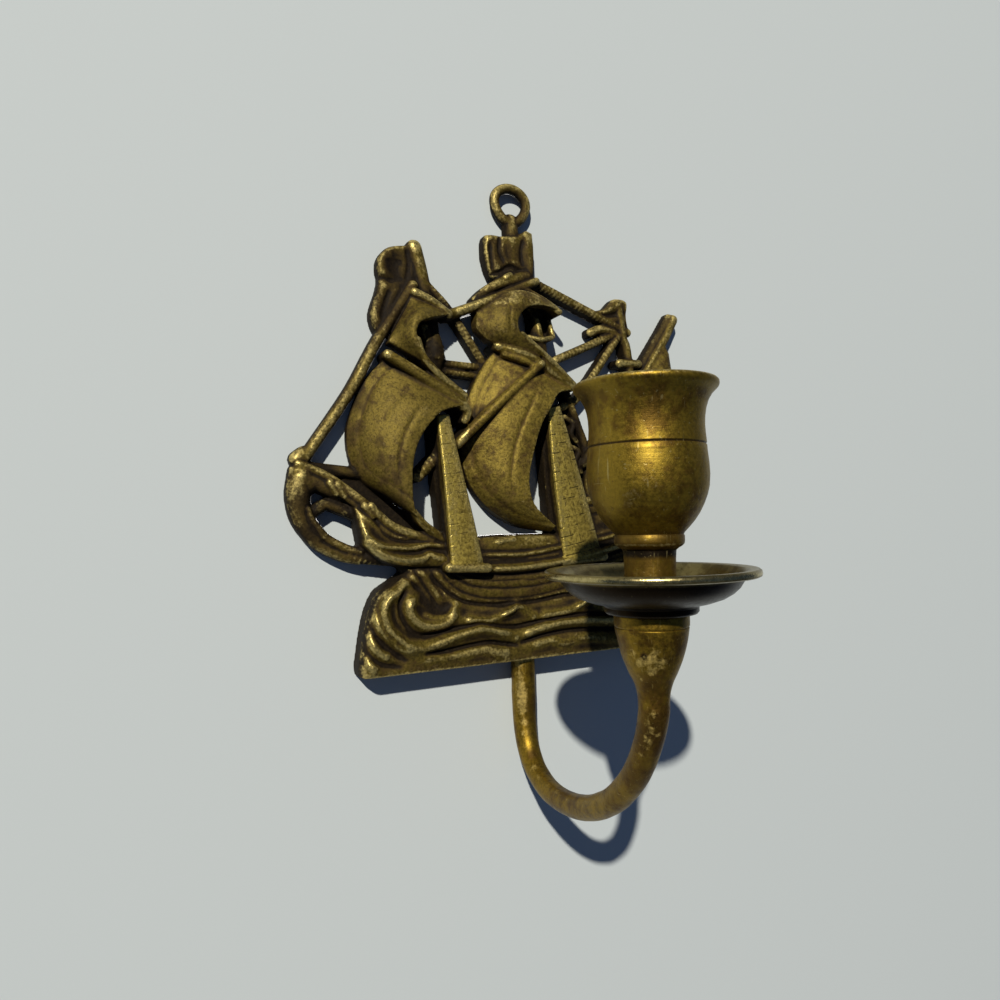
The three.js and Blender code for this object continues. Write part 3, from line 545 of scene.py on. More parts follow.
def castField(outline, ground, crests, cuts, depth, edge, cell=0.5):
    # low relief within an outline, rounded off towards its edge, which has the given depth
    low, high = np.min(outline, axis=0), np.max(outline, axis=0)
    x, y = np.meshgrid(np.arange(low[0], high[0] + cell, cell), np.arange(low[1], high[1] + cell, cell))
    spots = np.column_stack([x.ravel(), y.ravel()])
    height = ground(spots[:, 0], spots[:, 1]) if callable(ground) else np.full(len(spots), float(ground))
    height = shaped(spots, shaped(spots, height, crests, 1), cuts, -1)
    gap, _, rim = gapTo(np.array(outline + outline[:1]), spots)
    share = np.clip(gap / edge, 0, 1)
    height = depth + (height - depth) * np.sqrt(1 - (1 - share) ** 2)
    within = insideOf(outline, spots)
    atRim = gap < 0.6 * cell  # the last corners are drawn onto the outline itself
    spots[atRim] = rim[atRim]
    height[atRim] = depth
    sheet = layGrid(np.column_stack([spots, height]).reshape(*x.shape, 3))
    outside = ~(within | atRim)
    edit(sheet, selectAll=False)
    bpy.ops.object.mode_set(mode="OBJECT")
    sheet.data.vertices.foreach_set("select", outside)
    bpy.ops.object.mode_set(mode="EDIT")
    bpy.ops.mesh.delete(type="VERT")
    bpy.ops.object.mode_set(mode="OBJECT")
    return sheet


def hullGround(x, y):
    deck = np.interp(x, *np.array(hull["deck"]).T)
    wale = np.interp(x, *np.array(hull["wale"]).T)
    up = np.clip((y - wale) / (deck - wale), -0.4, 1)
    quarter = np.clip((y - deck) / hull["quarterHigh"], 0, 1)
    fall = hull["fallToDeck"] * np.clip(up, 0, 1)
    return hull["crown"] - fall + hull["fallToKeel"] * np.clip(up, -0.4, 0) - hull["quarterFall"] * quarter


def seaGround(x, y):
    water = np.interp(x, *np.array(sea["waterline"]).T)
    wale = np.interp(x, *np.array(hull["wale"]).T)
    up = np.clip((y - water) / np.maximum(wale - water, 1), 0, 1)
    swell = sea["groundRise"] * np.clip((water - y) / sea["risesOver"], 0, 1)
    ground = np.where(y > water, sea["hullFoot"] + sea["hullRise"] * up, sea["ground"] + swell)
    line, deep, wide = sea["scoop"]
    gap, _, _ = gapTo(curveThrough(line, 24)[:, :2], np.column_stack([x, y]))
    return ground - deep * np.exp(-(gap / wide) ** 2)


def shroudPanel(line, half):
    # flat tapering panel with softly rounded long edges
    count = shrouds["steps"]
    crest = curveThrough(line, count)
    runs = headings(crest)
    share = np.array([-1.0, -0.985, -0.95, -0.88, -0.6, -0.3, 0, 0.3, 0.6, 0.88, 0.95, 0.985, 1.0])
    drop = np.array([0.9, 0.5, 0.22, 0.06, 0, 0, 0, 0, 0, 0.06, 0.22, 0.5, 0.9])
    rows = []
    for i in range(count):
        width = half[0] + (half[1] - half[0]) * i / (count - 1)
        side = np.array([runs[i, 1], -runs[i, 0]])
        rows.append(np.column_stack([crest[i, 0] + side[0] * share * width,
                                     crest[i, 1] + side[1] * share * width, crest[i, 2] - drop]))
    return layGrid(rows)


def hangingRing():
    clearSelection()
    around, barSides = 72, 18
    bpy.ops.mesh.primitive_torus_add(major_segments=around, minor_segments=barSides,
                                     major_radius=ring["halfWide"], minor_radius=ring["bar"])
    loop = bpy.context.object
    theta = np.linspace(0, 2 * math.pi, around, endpoint=False)
    below = np.minimum(0, np.sin(theta))
    cx = ring["centre"][0] + ring["halfWide"] * np.cos(theta) * (1 - 0.25 * below ** 2)
    cy = ring["centre"][1] + np.where(below < 0, (ring["centre"][1] - ring["tip"]) * np.sin(theta),
                                      ring["halfHigh"] * np.sin(theta))
    run = np.column_stack([np.gradient(np.r_[c[-1], c, c[0]])[1:-1] for c in (cx, cy)])
    run /= np.linalg.norm(run, axis=1)[:, None]
    phi = np.linspace(0, 2 * math.pi, barSides, endpoint=False)
    x = cx[:, None] + run[:, 1:2] * ring["bar"] * np.cos(phi)
    y = cy[:, None] - run[:, 0:1] * ring["bar"] * np.cos(phi)
    z = ring["bar"] + ring["bar"] * np.sin(phi) + 0 * x
    moveCorners(loop, np.dstack([x, y, z]))
    edit(loop)
    closeEdit()
    return loop


def makePlaque():
    bars = [castBar(line, half, strand) for line, half, strand in rigging.values()]
    bars += [castBar(line, half) for line, half in flags["folds"]]
    bars += [castBar(line, half, strand) for line, half, strand in bow]
    bars += [castBar(line, half) for line, half in shrouds["ledges"]]
    bars += [shroudPanel(shrouds[k]["line"], shrouds[k]["half"]) for k in ("fore", "main")]
    for key in ("fore", "main", "mizzen"):
        flag = flags[key]
        bars.append(castField(flag["outline"], flag["ground"], flag["crests"], flag["cuts"],
                              flags["depth"], flags["edge"], flags["cell"]))
    for form, ground in ((hull, hullGround), (sea, seaGround)):
        bars.append(castField(form["outline"], ground, form["crests"], form["cuts"], form["depth"],
                              form["edge"]))
    for key in ("bow", "stern"):
        bars.append(castField(webs[key], webs["height"], (), (), webs["depth"], webs["edge"]))
    standing = joined(bars, "standing")
    edit(standing, selectAll=False)  # every open edge goes straight down to the back and is closed there
    bpy.ops.mesh.select_mode(type="EDGE")
    bpy.ops.mesh.select_non_manifold(extend=False, use_wire=False, use_boundary=True, use_multi_face=False,
                                     use_non_contiguous=False, use_verts=False)
    bpy.ops.mesh.extrude_edges_move()
    bpy.ops.transform.resize(value=(1, 1, 0), center_override=(0, 0, 0))
    bpy.ops.mesh.fill_holes(sides=0)
    closeEdit()
    print("plaque: bars", len(standing.data.polygons), "faces")

    cloths = joined([castSail(**sail) for sail in sails.values()], "sails")
    edit(cloths)
    bpy.ops.mesh.extrude_region_move(TRANSFORM_OT_translate={"value": (0, 0, -plaque["sailGauge"])})
    closeEdit()
    places = corners(cloths)
    places[:, 2] = np.maximum(places[:, 2], 0)
    moveCorners(cloths, places)

    casting = joined([standing, cloths, hangingRing()], "plaqueCasting")
    finishWith(casting, "REMESH", mode="VOXEL", voxel_size=plaque["voxel"])
    finishWith(casting, "SMOOTH", factor=0.5, iterations=plaque["smoothing"])
    places = corners(casting)
    places[:, 2] = np.maximum(places[:, 2], 0)
    moveCorners(casting, places)
    grain = bpy.data.textures.new("castGrain", "CLOUDS")
    grain.noise_scale = plaque["grainSize"]
    finishWith(casting, "DISPLACE", texture=grain, strength=plaque["grain"], mid_level=0.5,
               texture_coords="LOCAL")
    places = corners(casting)
    places[:, 2] = np.where(places[:, 2] < plaque["flatBelow"], 0, places[:, 2])
    places[:, 1] = np.maximum(places[:, 1], plaque["bottomEdge"])
    moveCorners(casting, places)
    faces = sum(len(p.vertices) - 2 for p in casting.data.polygons)
    finishWith(casting, "DECIMATE", ratio=min(1.0, plaque["triangles"] / faces))
    print("plaque: casting", faces, "triangles, kept", len(casting.data.polygons))
    return casting


# The arm, pan and cup stand askew in the plaque: drawn upright in millimetres, then turned and set back
bracket = {"depth": 4.0, "turn": -4.2, "reach": 76.0, "weld": 0.0005, "profileStep": 1.2, "smoothAngle": 40}

arm = {
    "line": [(0, -20, 3.9), (0, -33, 3.9), (0.4, -41, 3.8), (3.2, -49.4, 3.6), (10.2, -55.4, 3.4),
             (21.5, -58, 3.4), (38, -56, 3.4), (54, -49, 3.4), (66, -39, 3.4), (73, -28.6, 3.5),
             (75.7, -21, 3.6), (76, -18, 3.7)],
    # height and radius, with a scribed line
    "flare": [(-18, 3.7), (-15.4, 4), (-13, 4.7), (-10.7, 5.75), (-7.2, 7.1), (-3.6, 8.1),
              (-0.6, 8.68), (-0.3, 8.55), (0, 8.7), (0.4, 8.8), (2.4, 8.8), (2.8, 8.45)],
    "sides": 44,
    "steps": (90, 70),  # along the rod and up the flare
    "waverSize": 9,
    "waver": 0.35,
    "reach": (-70, 2.8),  # lowest and highest a wavered corner may go
}

pan = {
    "profile": [(0, 2.8), (9.8, 2.8), (10.6, 3.0), (11, 3.5), (11, 4.5), (11.4, 4.95), (14.2, 5.6),
                (17, 6.6), (18.8, 7.7), (20.2, 9), (21, 10.3), (21.5, 11.2), (22.6, 11.5), (24.4, 11.5),
                (24.85, 11.75), (25, 12.3), (24.85, 12.95), (24.4, 13.3), (23.2, 13.25), (22, 12.9),
                (20.8, 11.4), (19.6, 10), (18.2, 8.95), (16.6, 8.2), (14.6, 7.55), (12.5, 7.3), (0, 7.3)],
    "steps": 120,
    # strength and top of the painted shade on the outside below the lip
    "underShade": 1.3,
    "lip": (24.9, 12.5),  # radius and height of its bright edge
    "underShadeTop": 11.5,
    # radius and height just under the face of the dish
    "innerSkin": [(0, 7.0), (12.5, 7.0), (16.6, 7.8), (19.6, 9.6), (22, 12.4), (25, 12.9)],
}

cup = {
    "profile": [(0, 7.3), (6.2, 7.3), (6.05, 9.5), (6.0, 12.4), (6.05, 15.5), (6.2, 17.6),
                (6.9, 18.2), (7.6, 18.6), (8.1, 19.1), (8.2, 19.8), (8.2, 20.9), (8.0, 21.35), (8.15, 21.6),
                (8.4, 21.9), (9.5, 23.1), (10.6, 24.4), (11.8, 26.2), (12.8, 28.2), (13.6, 30.3),
                (14.1, 32.3), (14.3, 35), (14.2, 37.6), (13.9, 40.5), (13.83, 41.75), (13.62, 42.0),
                (13.62, 42.2), (13.8, 42.45), (13.6, 44.6), (13.5, 46.5), (13.6, 48.6), (13.9, 50.5),
                (14.5, 52.4), (15.4, 53.9), (16.4, 54.9), (16.85, 55.4), (17, 55.9), (16.95, 56.5),
                (16.6, 56.9), (16.1, 57), (15.3, 56.75), (14.2, 55.9), (13.1, 54.6), (12.2, 53),
                (11.5, 51), (11.2, 49), (11.2, 44), (11.2, 38), (11.2, 33.4), (10.8, 31.2), (9.8, 29.4),
                (8, 28), (6, 27.3), (0, 27)],
    "steps": 120,
    "scribed": 42.1,
    "lip": (16.4, 56.6),  # radius and height of its bright edge
    "collarTop": 22.4,
}


def setAskew(obj, forward):
    # from its own axis in millimetres to its place in the holder
    places = corners(obj)
    turn = math.radians(bracket["turn"])
    x, y, z = places[:, 0], places[:, 1] - forward, places[:, 2]
    moveCorners(obj, np.column_stack([x * math.cos(turn) - y * math.sin(turn),
                                      x * math.sin(turn) + y * math.cos(turn) - bracket["depth"], z]) * mm)


def makeArm():
    line = curveThrough(arm["line"], arm["steps"][0])
    runs = headings(line)
    runs[0] = (0, -1)
    runs[-1] = (0, 1)
    turn = np.linspace(0, 2 * math.pi, arm["sides"] + 1)
    rows = []
    for (forward, z, radius), (fx, fz) in zip(line, runs):
        out = radius * np.sin(turn)
        rows.append(np.column_stack([radius * np.cos(turn), -(forward - fz * out), z + fx * out]))
    for z, radius in curveThrough(arm["flare"], arm["steps"][1])[1:]:
        rows.append(np.column_stack([radius * np.cos(turn), -(bracket["reach"] - radius * np.sin(turn)),
                                     z + 0 * turn]))
    bar = layGrid(rows)
    bar.name = "armBar"
    edit(bar)
    bpy.ops.mesh.remove_doubles(threshold=bracket["weld"])
    bpy.ops.mesh.fill_holes(sides=0)
    bpy.ops.mesh.normals_make_consistent(inside=False)
    bpy.ops.object.mode_set(mode="OBJECT")
    grain = bpy.data.textures.new("armWaver", "CLOUDS")
    grain.noise_scale = arm["waverSize"]
    finishWith(bar, "DISPLACE", texture=grain, strength=arm["waver"], mid_level=0.5, texture_coords="LOCAL")
    places = corners(bar)
    places[:, 2] = np.clip(places[:, 2], *arm["reach"])
    moveCorners(bar, places)
    setAskew(bar, 0)
    return bar


def turnedPiece(name, profile, steps):
    # one corner drawn out along the profile, then spun round the axis
    clearSelection()
    bpy.ops.mesh.primitive_plane_add(size=1)
    piece = bpy.context.object
    piece.name = name
    edit(piece)
    bpy.ops.mesh.merge(type="CENTER")
    bpy.ops.transform.translate(value=(profile[0][0], 0, profile[0][1]))
    for (r, z), (lastR, lastZ) in zip(profile[1:], profile):
        bpy.ops.mesh.extrude_vertices_move(TRANSFORM_OT_translate={"value": (r - lastR, 0, z - lastZ)})
    bpy.ops.mesh.select_all(action="SELECT")
    bpy.ops.mesh.spin(steps=steps, angle=2 * math.pi, center=(0, 0, 0), axis=(0, 0, 1))
    bpy.ops.mesh.select_all(action="SELECT")
    bpy.ops.mesh.remove_doubles(threshold=bracket["weld"])
    closeEdit()
    setAskew(piece, bracket["reach"])
    return piece


def refined(profile, longest):
    # extra corners on the long straight runs, so the wear has something to follow
    made = [profile[0]]
    for a, b in zip(profile, profile[1:]):
        pieces = max(1, int(math.dist(a, b) / longest))
        for k in range(1, pieces + 1):
            made.append((a[0] + (b[0] - a[0]) * k / pieces, a[1] + (b[1] - a[1]) * k / pieces))
    return made


def insideDish(out, height):
    # corners on the dish's upper side
    return height > np.interp(out, *np.array(pan["innerSkin"]).T)


def standOff(obj, scale, rounds):
    # how far each corner lies below its surroundings, smoothed by the given rounds: under 0 on a ridge
    mesh = obj.data
    places = corners(obj) / scale
    normals = np.empty(len(mesh.vertices) * 3)
    mesh.vertex_normals.foreach_get("vector", normals)
    normals = normals.reshape(-1, 3)
    ends = np.empty(len(mesh.edges) * 2, dtype=int)
    mesh.edges.foreach_get("vertices", ends)
    a, b = ends.reshape(-1, 2).T
    count = np.bincount(a, minlength=len(places)) + np.bincount(b, minlength=len(places))
    calm = places.copy()
    kept = []
    for i in range(max(rounds)):
        total = np.zeros_like(calm)
        for k in range(3):
            total[:, k] = np.bincount(a, calm[b, k], len(calm)) + np.bincount(b, calm[a, k], len(calm))
        calm = 0.4 * calm + 0.6 * total / np.maximum(count, 1)[:, None]
        if i + 1 in rounds:
            kept.append(((calm - places) * normals).sum(axis=1))
    return kept


def storeMask(obj, name, values):
    layer = obj.data.attributes.new(name, "FLOAT", "POINT")
    layer.data.foreach_set("value", np.asarray(values, dtype=np.float32))


def heightRound(places, cell, reach):
    # mean height of the relief round each corner, over the cells that hold any
    x = ((places[:, 0] - places[:, 0].min()) / cell).astype(int)
    y = ((places[:, 1] - places[:, 1].min()) / cell).astype(int)
    top = np.zeros((x.max() + 1, y.max() + 1))
    np.maximum.at(top, (x, y), places[:, 2])
    held = (top > 0).astype(float)
    steps = int(3 * reach / cell)
    weight = np.exp(-0.5 * (np.arange(-steps, steps + 1) * cell / reach) ** 2)
    for axis in (0, 1):
        top, held = (np.apply_along_axis(lambda line: np.convolve(line, weight, mode="same"), axis, layer)
                     for layer in (top, held))
    return top[x, y] / np.maximum(held[x, y], 1e-6)


def panelCoordinates(places, panel):
    # share across and millimetres along a shroud panel, and a mask of its face
    steps = 160
    path = curveThrough(panel["line"], steps)
    along = lengthAlong(path)
    runs = headings(path)
    near = np.abs(places[:, 1][:, None] - path[:, 1][None]).argmin(axis=1)
    offset = places[:, :2] - path[near, :2]
    side = offset[:, 0] * runs[near, 1] - offset[:, 1] * runs[near, 0]
    width = panel["half"][0] + (panel["half"][1] - panel["half"][0]) * near / (steps - 1)
    step = offset[:, 0] * runs[near, 0] + offset[:, 1] * runs[near, 1]
    u = side / width
    onFace = (np.abs(u) < 1.02) & (np.abs(places[:, 2] - path[near, 2]) < 0.9)
    mask = onFace & (near > 0) & (near < steps - 1)
    return u, along[near] + step, mask


# Finishes: colours, shares and strengths of each kind of wear,
# and the spots that are rubbed or stained, among them painted highlights and painted shade: x, y, z and
# reach in millimetres, then strength
plaqueBrass = {"Skin": (0.125, 0.09, 0.016, 1), "Stain": (0.054, 0.033, 0.009, 1),
               "Dark": (0.014, 0.009, 0.004, 1), "RubbedAndSheen": (0.42, 0.33, 0.11, 1), "Stained": 0.85,
               "Specks": 0.8, "Crisp": 0.36, "Polish": 0.2, "Scratches": 0.02, "Bump": 0.8, "Metal": 0.5,
               "Rough": 0.54, "Gleam": 0.15,
               "bare": {"mainCourse": 1.0, "foreCourse": 0.15, "mizzenSail": 0.3},  # sails painted lighter: painted light
               "bareGain": (1.6, 1.6, 1.55, 1), "plainBack": 0.12,
               "rubsAndSheen": [(-54.5, -4, -4, 6, 0.32), (-56, -4, -13, 6, 0.32), (-51, -4, 4, 4, 0.3),
                        (-73.6, -5, 38, 3, 0.15)],
               # the three low spots at the bow darken the bow web, and the spot over the hanging ring
               # darkens the ring: painted shade
               "stainsAndShade": [(-44, -14.7, 48.5, 1.3, 1.4), (-48.8, -12.7, 38, 5, 0.4),
                          (-45.6, -11.8, 32, 6, 0.45), (-42, -3, 26, 6, 0.5), (-50, -3, 33, 4, 0.3),
                          (-64, -3, 34, 4, 0.25), (1, -12.5, 98.8, 5, 0.75), (8, -12, 98.4, 4, 0.75),
                          (-6, -11.5, 98, 4, 0.6), (-29.2, -7.5, 79.5, 5, 0.85), (0.5, -3, 132, 7, 0.4),
                          (-70.6, -6, 32, 6, 0.72), (-68.5, -6, 25, 6, 0.6), (-60, -6, 35, 6, 0.35),
                          (21, -5.5, 56, 6, 0.95), (22.4, -5.5, 46, 6, 0.95), (-44, -5, 105, 7, 0.35),
                          (-46.5, -5, 92, 7, 0.35), (-6, -5.5, 114, 7, 0.3), (4, -5.5, 114, 6, 0.25),
                          (-56.5, -4, 52, 5, 0.5), (-54, -4, 62, 5, 0.45), (-53.5, -4.5, 42, 5, 0.45),
                          (-47, -5, 34, 5, 0.4), (-57, -8, 33, 6, 0.3), (-49.5, -11, 44, 2.5, 0.6),
                          (-45, -13, 38, 2.5, 0.6), (-47, -12.4, 35, 2.2, 0.5), (-43.5, -13.6, 42, 2, 0.5),
                          (-50, -10.5, 50, 2, 0.4), (-12, -9, 36, 3, 0.4), (-7, -11, 31, 3, 0.4)]}
armBrass = {"Skin": (0.225, 0.14, 0.014, 1), "Stain": (0.09, 0.046, 0.007, 1),
            "Dark": (0.014, 0.008, 0.003, 1), "RubbedAndSheen": (0.46, 0.33, 0.09, 1), "Stained": 0.8,
            "Specks": 0.5, "Crisp": 0.22, "Polish": -0.12, "Scratches": 0.3, "Bump": 0.4, "Metal": 0.84,
            "Rough": 0.42, "Gleam": 0.3,
            # the run of spots down the upright and round the bend is a painted highlight on the lit side;
            # the small ones on the branch and flare are worn gold flakes
            "rubsAndSheen": [(-2.7, -6.8, -22, 2.4, 0.7), (-2.7, -6.8, -25, 2.6, 0.8), (-2.6, -6.9, -28, 2.6, 0.85),
                     (-2.4, -7.1, -31, 2.7, 1), (-2.4, -7.1, -34, 2.7, 1), (-2.4, -7.1, -37, 2.6, 0.85),
                     (-2.3, -7.4, -40.4, 2.5, 0.7), (-2.5, -8, -43.9, 2.5, 0.6),
                     (-2.7, -9.5, -48.2, 2.5, 0.6), (-2.8, -15, -52.8, 2.6, 0.66),
                     (-3.1, -19.5, -54.4, 2.6, 0.6), (-3.5, -24.5, -55.2, 2.6, 0.6),
                     (-4.1, -31, -55, 2.8, 0.62), (-4.7, -38.1, -54.2, 2.8, 0.6),
                     (-5.6, -45.6, -52.2, 2.6, 0.6), (-6.5, -52.9, -49.7, 2.4, 0.55),
                     (-7.7, -64.5, -42.8, 2, 0.5), (-9, -81.2, -18.3, 1.3, 0.64),
                     (-8.1, -82.4, -19.9, 1.4, 0.68), (-8.6, -81.1, -22.1, 1.7, 0.7),
                     (-7.6, -81.7, -23.8, 1.9, 0.72), (-8.2, -80.3, -26.1, 1.9, 0.72),
                     (-7.6, -80.1, -28, 2, 0.72), (-8.3, -77.8, -30.4, 1.6, 0.64),
                     (-8.3, -76.1, -33, 1.3, 0.58), (-6.2, -82, -25, 1.6, 0.66),
                     (-12.8, -82.1, -5.7, 2, 0.7), (-11.6, -83.3, -7.6, 2.2, 0.8),
                     (-10.6, -85.1, -6.6, 2.4, 0.82), (-9.7, -86.5, -4.6, 2, 0.7),
                     (-8.3, -86.2, -7.6, 2.4, 0.76), (-9.9, -84.4, -9.3, 2.2, 0.78),
                     (-10.6, -81.5, -11.6, 1.8, 0.66)],
            # darker spots: the right side of the upright and the underside of the bend are painted shade,
            # the branch is brown patina deepened with painted shade, and the smallest, at the flare, is a
            # pit
            "stainsAndShade": [(-11.4, -84.4, -6.1, 0.9, 1.6), (-8.8, -82.8, -13.8, 5, 0.6),
                       (-8, -79, -25, 9, 0.62), (-7, -74, -36, 8, 0.55), (-14.5, -79, -4, 4, 0.5),
                       (2.5, -8, -36, 6, 0.45), (-1.5, -12, -49.5, 2.4, 0.6), (-7.5, -66, -45, 8, 0.35),
                       (-4, -30, -59, 5, 0.45), (-4, -42, -58.5, 5, 0.4)]}
panBrass = {"Skin": (0.22, 0.175, 0.068, 1), "Stain": (0.08, 0.055, 0.018, 1),
            "Dark": (0.014, 0.008, 0.003, 1), "RubbedAndSheen": (0.5, 0.41, 0.18, 1), "Stained": 0.6,
            "Specks": 0.15, "Crisp": 0.27, "Polish": 0.1, "Scratches": 0.04, "Bump": 0.12, "Metal": 0.92,
            "Rough": 0.32, "Gleam": 0.1}
cupBrass = {"Skin": (0.25, 0.165, 0.018, 1), "Stain": (0.12, 0.066, 0.009, 1),
            "Dark": (0.016, 0.01, 0.004, 1), "RubbedAndSheen": (0.52, 0.42, 0.17, 1), "Stained": 0.85,
            "Specks": 0.35, "Crisp": 0.27, "Polish": 0.06, "Scratches": 0.4, "Bump": 0.3, "Metal": 0.86,
            "Rough": 0.43, "Gleam": 0.4,
            "rubsAndSheen": [(-16.5, -88, 29, 4, 0.5), (-14, -91, 33, 5, 0.4), (-18, -86, 24, 3, 0.45),
                     (-4, -93.5, 39, 5, 0.42)],
            # the spots down the cup's left side (x near -20) and right side (x 9) are painted shade; the
            # others are stains
            "stainsAndShade": [(-2, -94, 30, 8, 0.25), (-12, -90, 50, 5, 0.2), (-20.5, -73, 51, 8, 0.55),
                       (-20, -73, 42, 8, 0.5), (-20, -73, 32, 8, 0.5), (-17, -75, 24, 6, 0.45),
                       (9, -86, 38, 9, 0.3)]}


# Wear and darkening of the plaque from its relief, the darkening being patina with painted shade: the
# millimetres it grows over, the share it starts at, its strength
plaqueWear = {"fineRidge": (0.12, 0.1, 0.7), "wideRidge": (0.5, 0.25, 0.3), "highRidge": (0.8, 0.3, 0.45),
              "fineHollow": (0.06, 0, 0.5), "lowHollow": (0.9, 0, 0.5), "raised": (0.6, 0, 0.35)}
turnedWear = (0.06, 0.6, 1.0)  # the same for the arm, the pan and the cup


def wearShare(values, over, start, strength):
    return np.clip(values / over - start, 0, 1) * strength


def spotMask(places, spots):
    # soft spots round given places, in millimetres
    mask = np.zeros(len(places))
    for *centre, reach, strength in spots:
        gap = np.linalg.norm(places - np.array(centre), axis=1)
        mask = np.maximum(mask, strength * np.exp(-(gap / reach) ** 2))
    return mask


plaqueCasting = makePlaque()
places = corners(plaqueCasting)
fine, wide = standOff(plaqueCasting, 1.0, (5, 40))
rise = places[:, 2] - heightRound(places, 0.4, 2.2)
facing = np.empty(len(places) * 3)
plaqueCasting.data.vertex_normals.foreach_get("vector", facing)
facing = facing.reshape(-1, 3)[:, 2]
wallSide = np.clip((0.4 - facing) / 0.4, 0, 1)  # sides that face the edge are not rubbed and get a little painted shade
behind = np.maximum(np.clip((-0.3 - facing) / 0.4, 0, 1),
                    places[:, 2] < plaque["backFace"])  # and the back is plain
sheltered = np.ones(len(places))  # everything but the sails, which are handled most
# how much lighter each sail is painted: painted light
bare = np.zeros(len(places))
for name, sail in sails.items():
    edge = [tuple(p) for p in curveThrough(sail["luff"], 40)[:, :2]]
    edge += [tuple(p) for p in curveThrough(sail["leech"], 40)[::-1, :2]]
    within = insideOf(edge, places[:, :2])
    sheltered[within] = 0
    bare[within] = plaqueBrass["bare"].get(name, 0.0)
low = sheltered * np.clip((11.6 - places[:, 2]) / 2.4, 0, 1)
spotPlaces = np.column_stack([places[:, 0], -places[:, 2], places[:, 1]])
spotStainAndShade = spotMask(spotPlaces, plaqueBrass["stainsAndShade"])
ridgeAndSheen = wearShare(-fine, *plaqueWear["fineRidge"]) + wearShare(-wide, *plaqueWear["wideRidge"])
ridgeAndSheen = ridgeAndSheen * (0.5 + 0.5 * sheltered)
ridgeAndSheen = ridgeAndSheen + sheltered * wearShare(rise, *plaqueWear["highRidge"])
# darker in creases, beside taller forms, on the low relief and on the sides: patina with painted shade
hollowAndShade = wearShare(fine, *plaqueWear["fineHollow"]) + wearShare(-rise, *plaqueWear["lowHollow"])
hollowAndShade = hollowAndShade + 0.45 * low + 0.1 * wallSide
hollowAndShade = hollowAndShade - sheltered * wearShare(rise, *plaqueWear["raised"])
ridgeAndSheen = ridgeAndSheen * (1 - wallSide) * (1 - np.clip(spotStainAndShade, 0, 1)) + spotMask(spotPlaces, plaqueBrass["rubsAndSheen"])
storeMask(plaqueCasting, "ridgeAndSheen", ridgeAndSheen)
storeMask(plaqueCasting, "hollowAndShade", (hollowAndShade + spotStainAndShade) * (1 - behind) + plaqueBrass["plainBack"] * behind)
storeMask(plaqueCasting, "bare", bare)
across = np.zeros(len(places))
down = np.zeros(len(places))
onPanel = np.zeros(len(places))
ladder = np.zeros(len(places))
for key in ("fore", "main"):
    u, v, mask = panelCoordinates(places, shrouds[key])
    across[mask] = (u[mask] * 0.5 + 0.5) * shrouds[key]["columns"]
    down[mask] = v[mask] / shrouds["rung"]
    # brighter towards the panel's left edge: painted highlight
    onPanel[mask] = np.clip(0.75 + 0.5 * u[mask], 0, 1.3)
    ladder[mask] = shrouds[key]["shows"]
storeMask(plaqueCasting, "panelAcross", across)
storeMask(plaqueCasting, "panelDown", down)
storeMask(plaqueCasting, "panelFace", onPanel)
storeMask(plaqueCasting, "panelLadder", ladder)
pick(plaqueCasting)
plaqueCasting.rotation_euler = (math.pi / 2, 0, 0)
plaqueCasting.scale = (mm, mm, mm)
bpy.ops.object.transform_apply(location=True, rotation=True, scale=True)
bpy.ops.object.shade_smooth_by_angle(angle=math.radians(plaque["smoothAngle"]))
for face in plaqueCasting.data.polygons:  # the back stays flat
    if face.center.y > -plaque["backFace"] * mm:
        face.use_smooth = False

turn = math.radians(bracket["turn"])
axis = (bracket["reach"] * math.sin(turn), -bracket["reach"] * math.cos(turn) - bracket["depth"])
armBar = makeArm()
dripPan = turnedPiece("dripPan", refined(pan["profile"], bracket["profileStep"]), pan["steps"])
candleCup = turnedPiece("candleCup", refined(cup["profile"], bracket["profileStep"]), cup["steps"])
for obj, look in ((armBar, armBrass), (dripPan, panBrass), (candleCup, cupBrass)):
    fine, wide = standOff(obj, mm, (3, 12))
    local = fine - 0.25 * wide  # what stands off more than the piece's own roundness
    places = corners(obj) / mm
    # rubbed ridges and spots, among them the arm's painted highlight, then dark recesses, stains and
    # painted shade
    ridgeAndSheen = wearShare(-local, *turnedWear) + spotMask(places, look.get("rubsAndSheen", ()))
    hollowAndShade = wearShare(local, *turnedWear) + spotMask(places, look.get("stainsAndShade", ()))
    out = np.hypot(places[:, 0] - axis[0], places[:, 1] - axis[1])
    high = places[:, 2]
    if obj is candleCup:  # the scribed line stays dark, foot and collar under the bowl are darkened with patina and painted shade, the lip is worn bright
        lipOut, lipHigh = cup["lip"]
        ridgeAndSheen = np.where(np.abs(high - cup["scribed"]) < 1.5, 0, ridgeAndSheen)
        hollowAndShade = np.maximum(hollowAndShade, np.exp(-((high - cup["scribed"]) / 0.25) ** 2))
        hollowAndShade = hollowAndShade + 0.45 * np.clip((cup["collarTop"] - high) / 0.8, 0, 1)
        ridgeAndSheen = ridgeAndSheen + 0.8 * np.exp(-((out - lipOut) / 0.9) ** 2 - ((high - lipHigh) / 0.7) ** 2)
    if obj is dripPan:  # the lip is bright all round, the outside below it is darkened as painted shade, and the dish is a little dulled
        lipOut, lipHigh = pan["lip"]
        ridgeAndSheen = 1.05 * np.exp(-((out - lipOut) / 0.5) ** 2 - ((high - lipHigh) / 0.6) ** 2)
        hollowAndShade = np.clip((pan["underShadeTop"] - high) / 1.0, 0, 1) * (out > 9.5) * (high < 11.6) * pan["underShade"]
        hollowAndShade[insideDish(out, high)] = 0.15
    storeMask(obj, "ridgeAndSheen", ridgeAndSheen)
    storeMask(obj, "hollowAndShade", hollowAndShade)
    pick(obj)
    bpy.ops.object.shade_smooth_by_angle(angle=math.radians(bracket["smoothAngle"]))
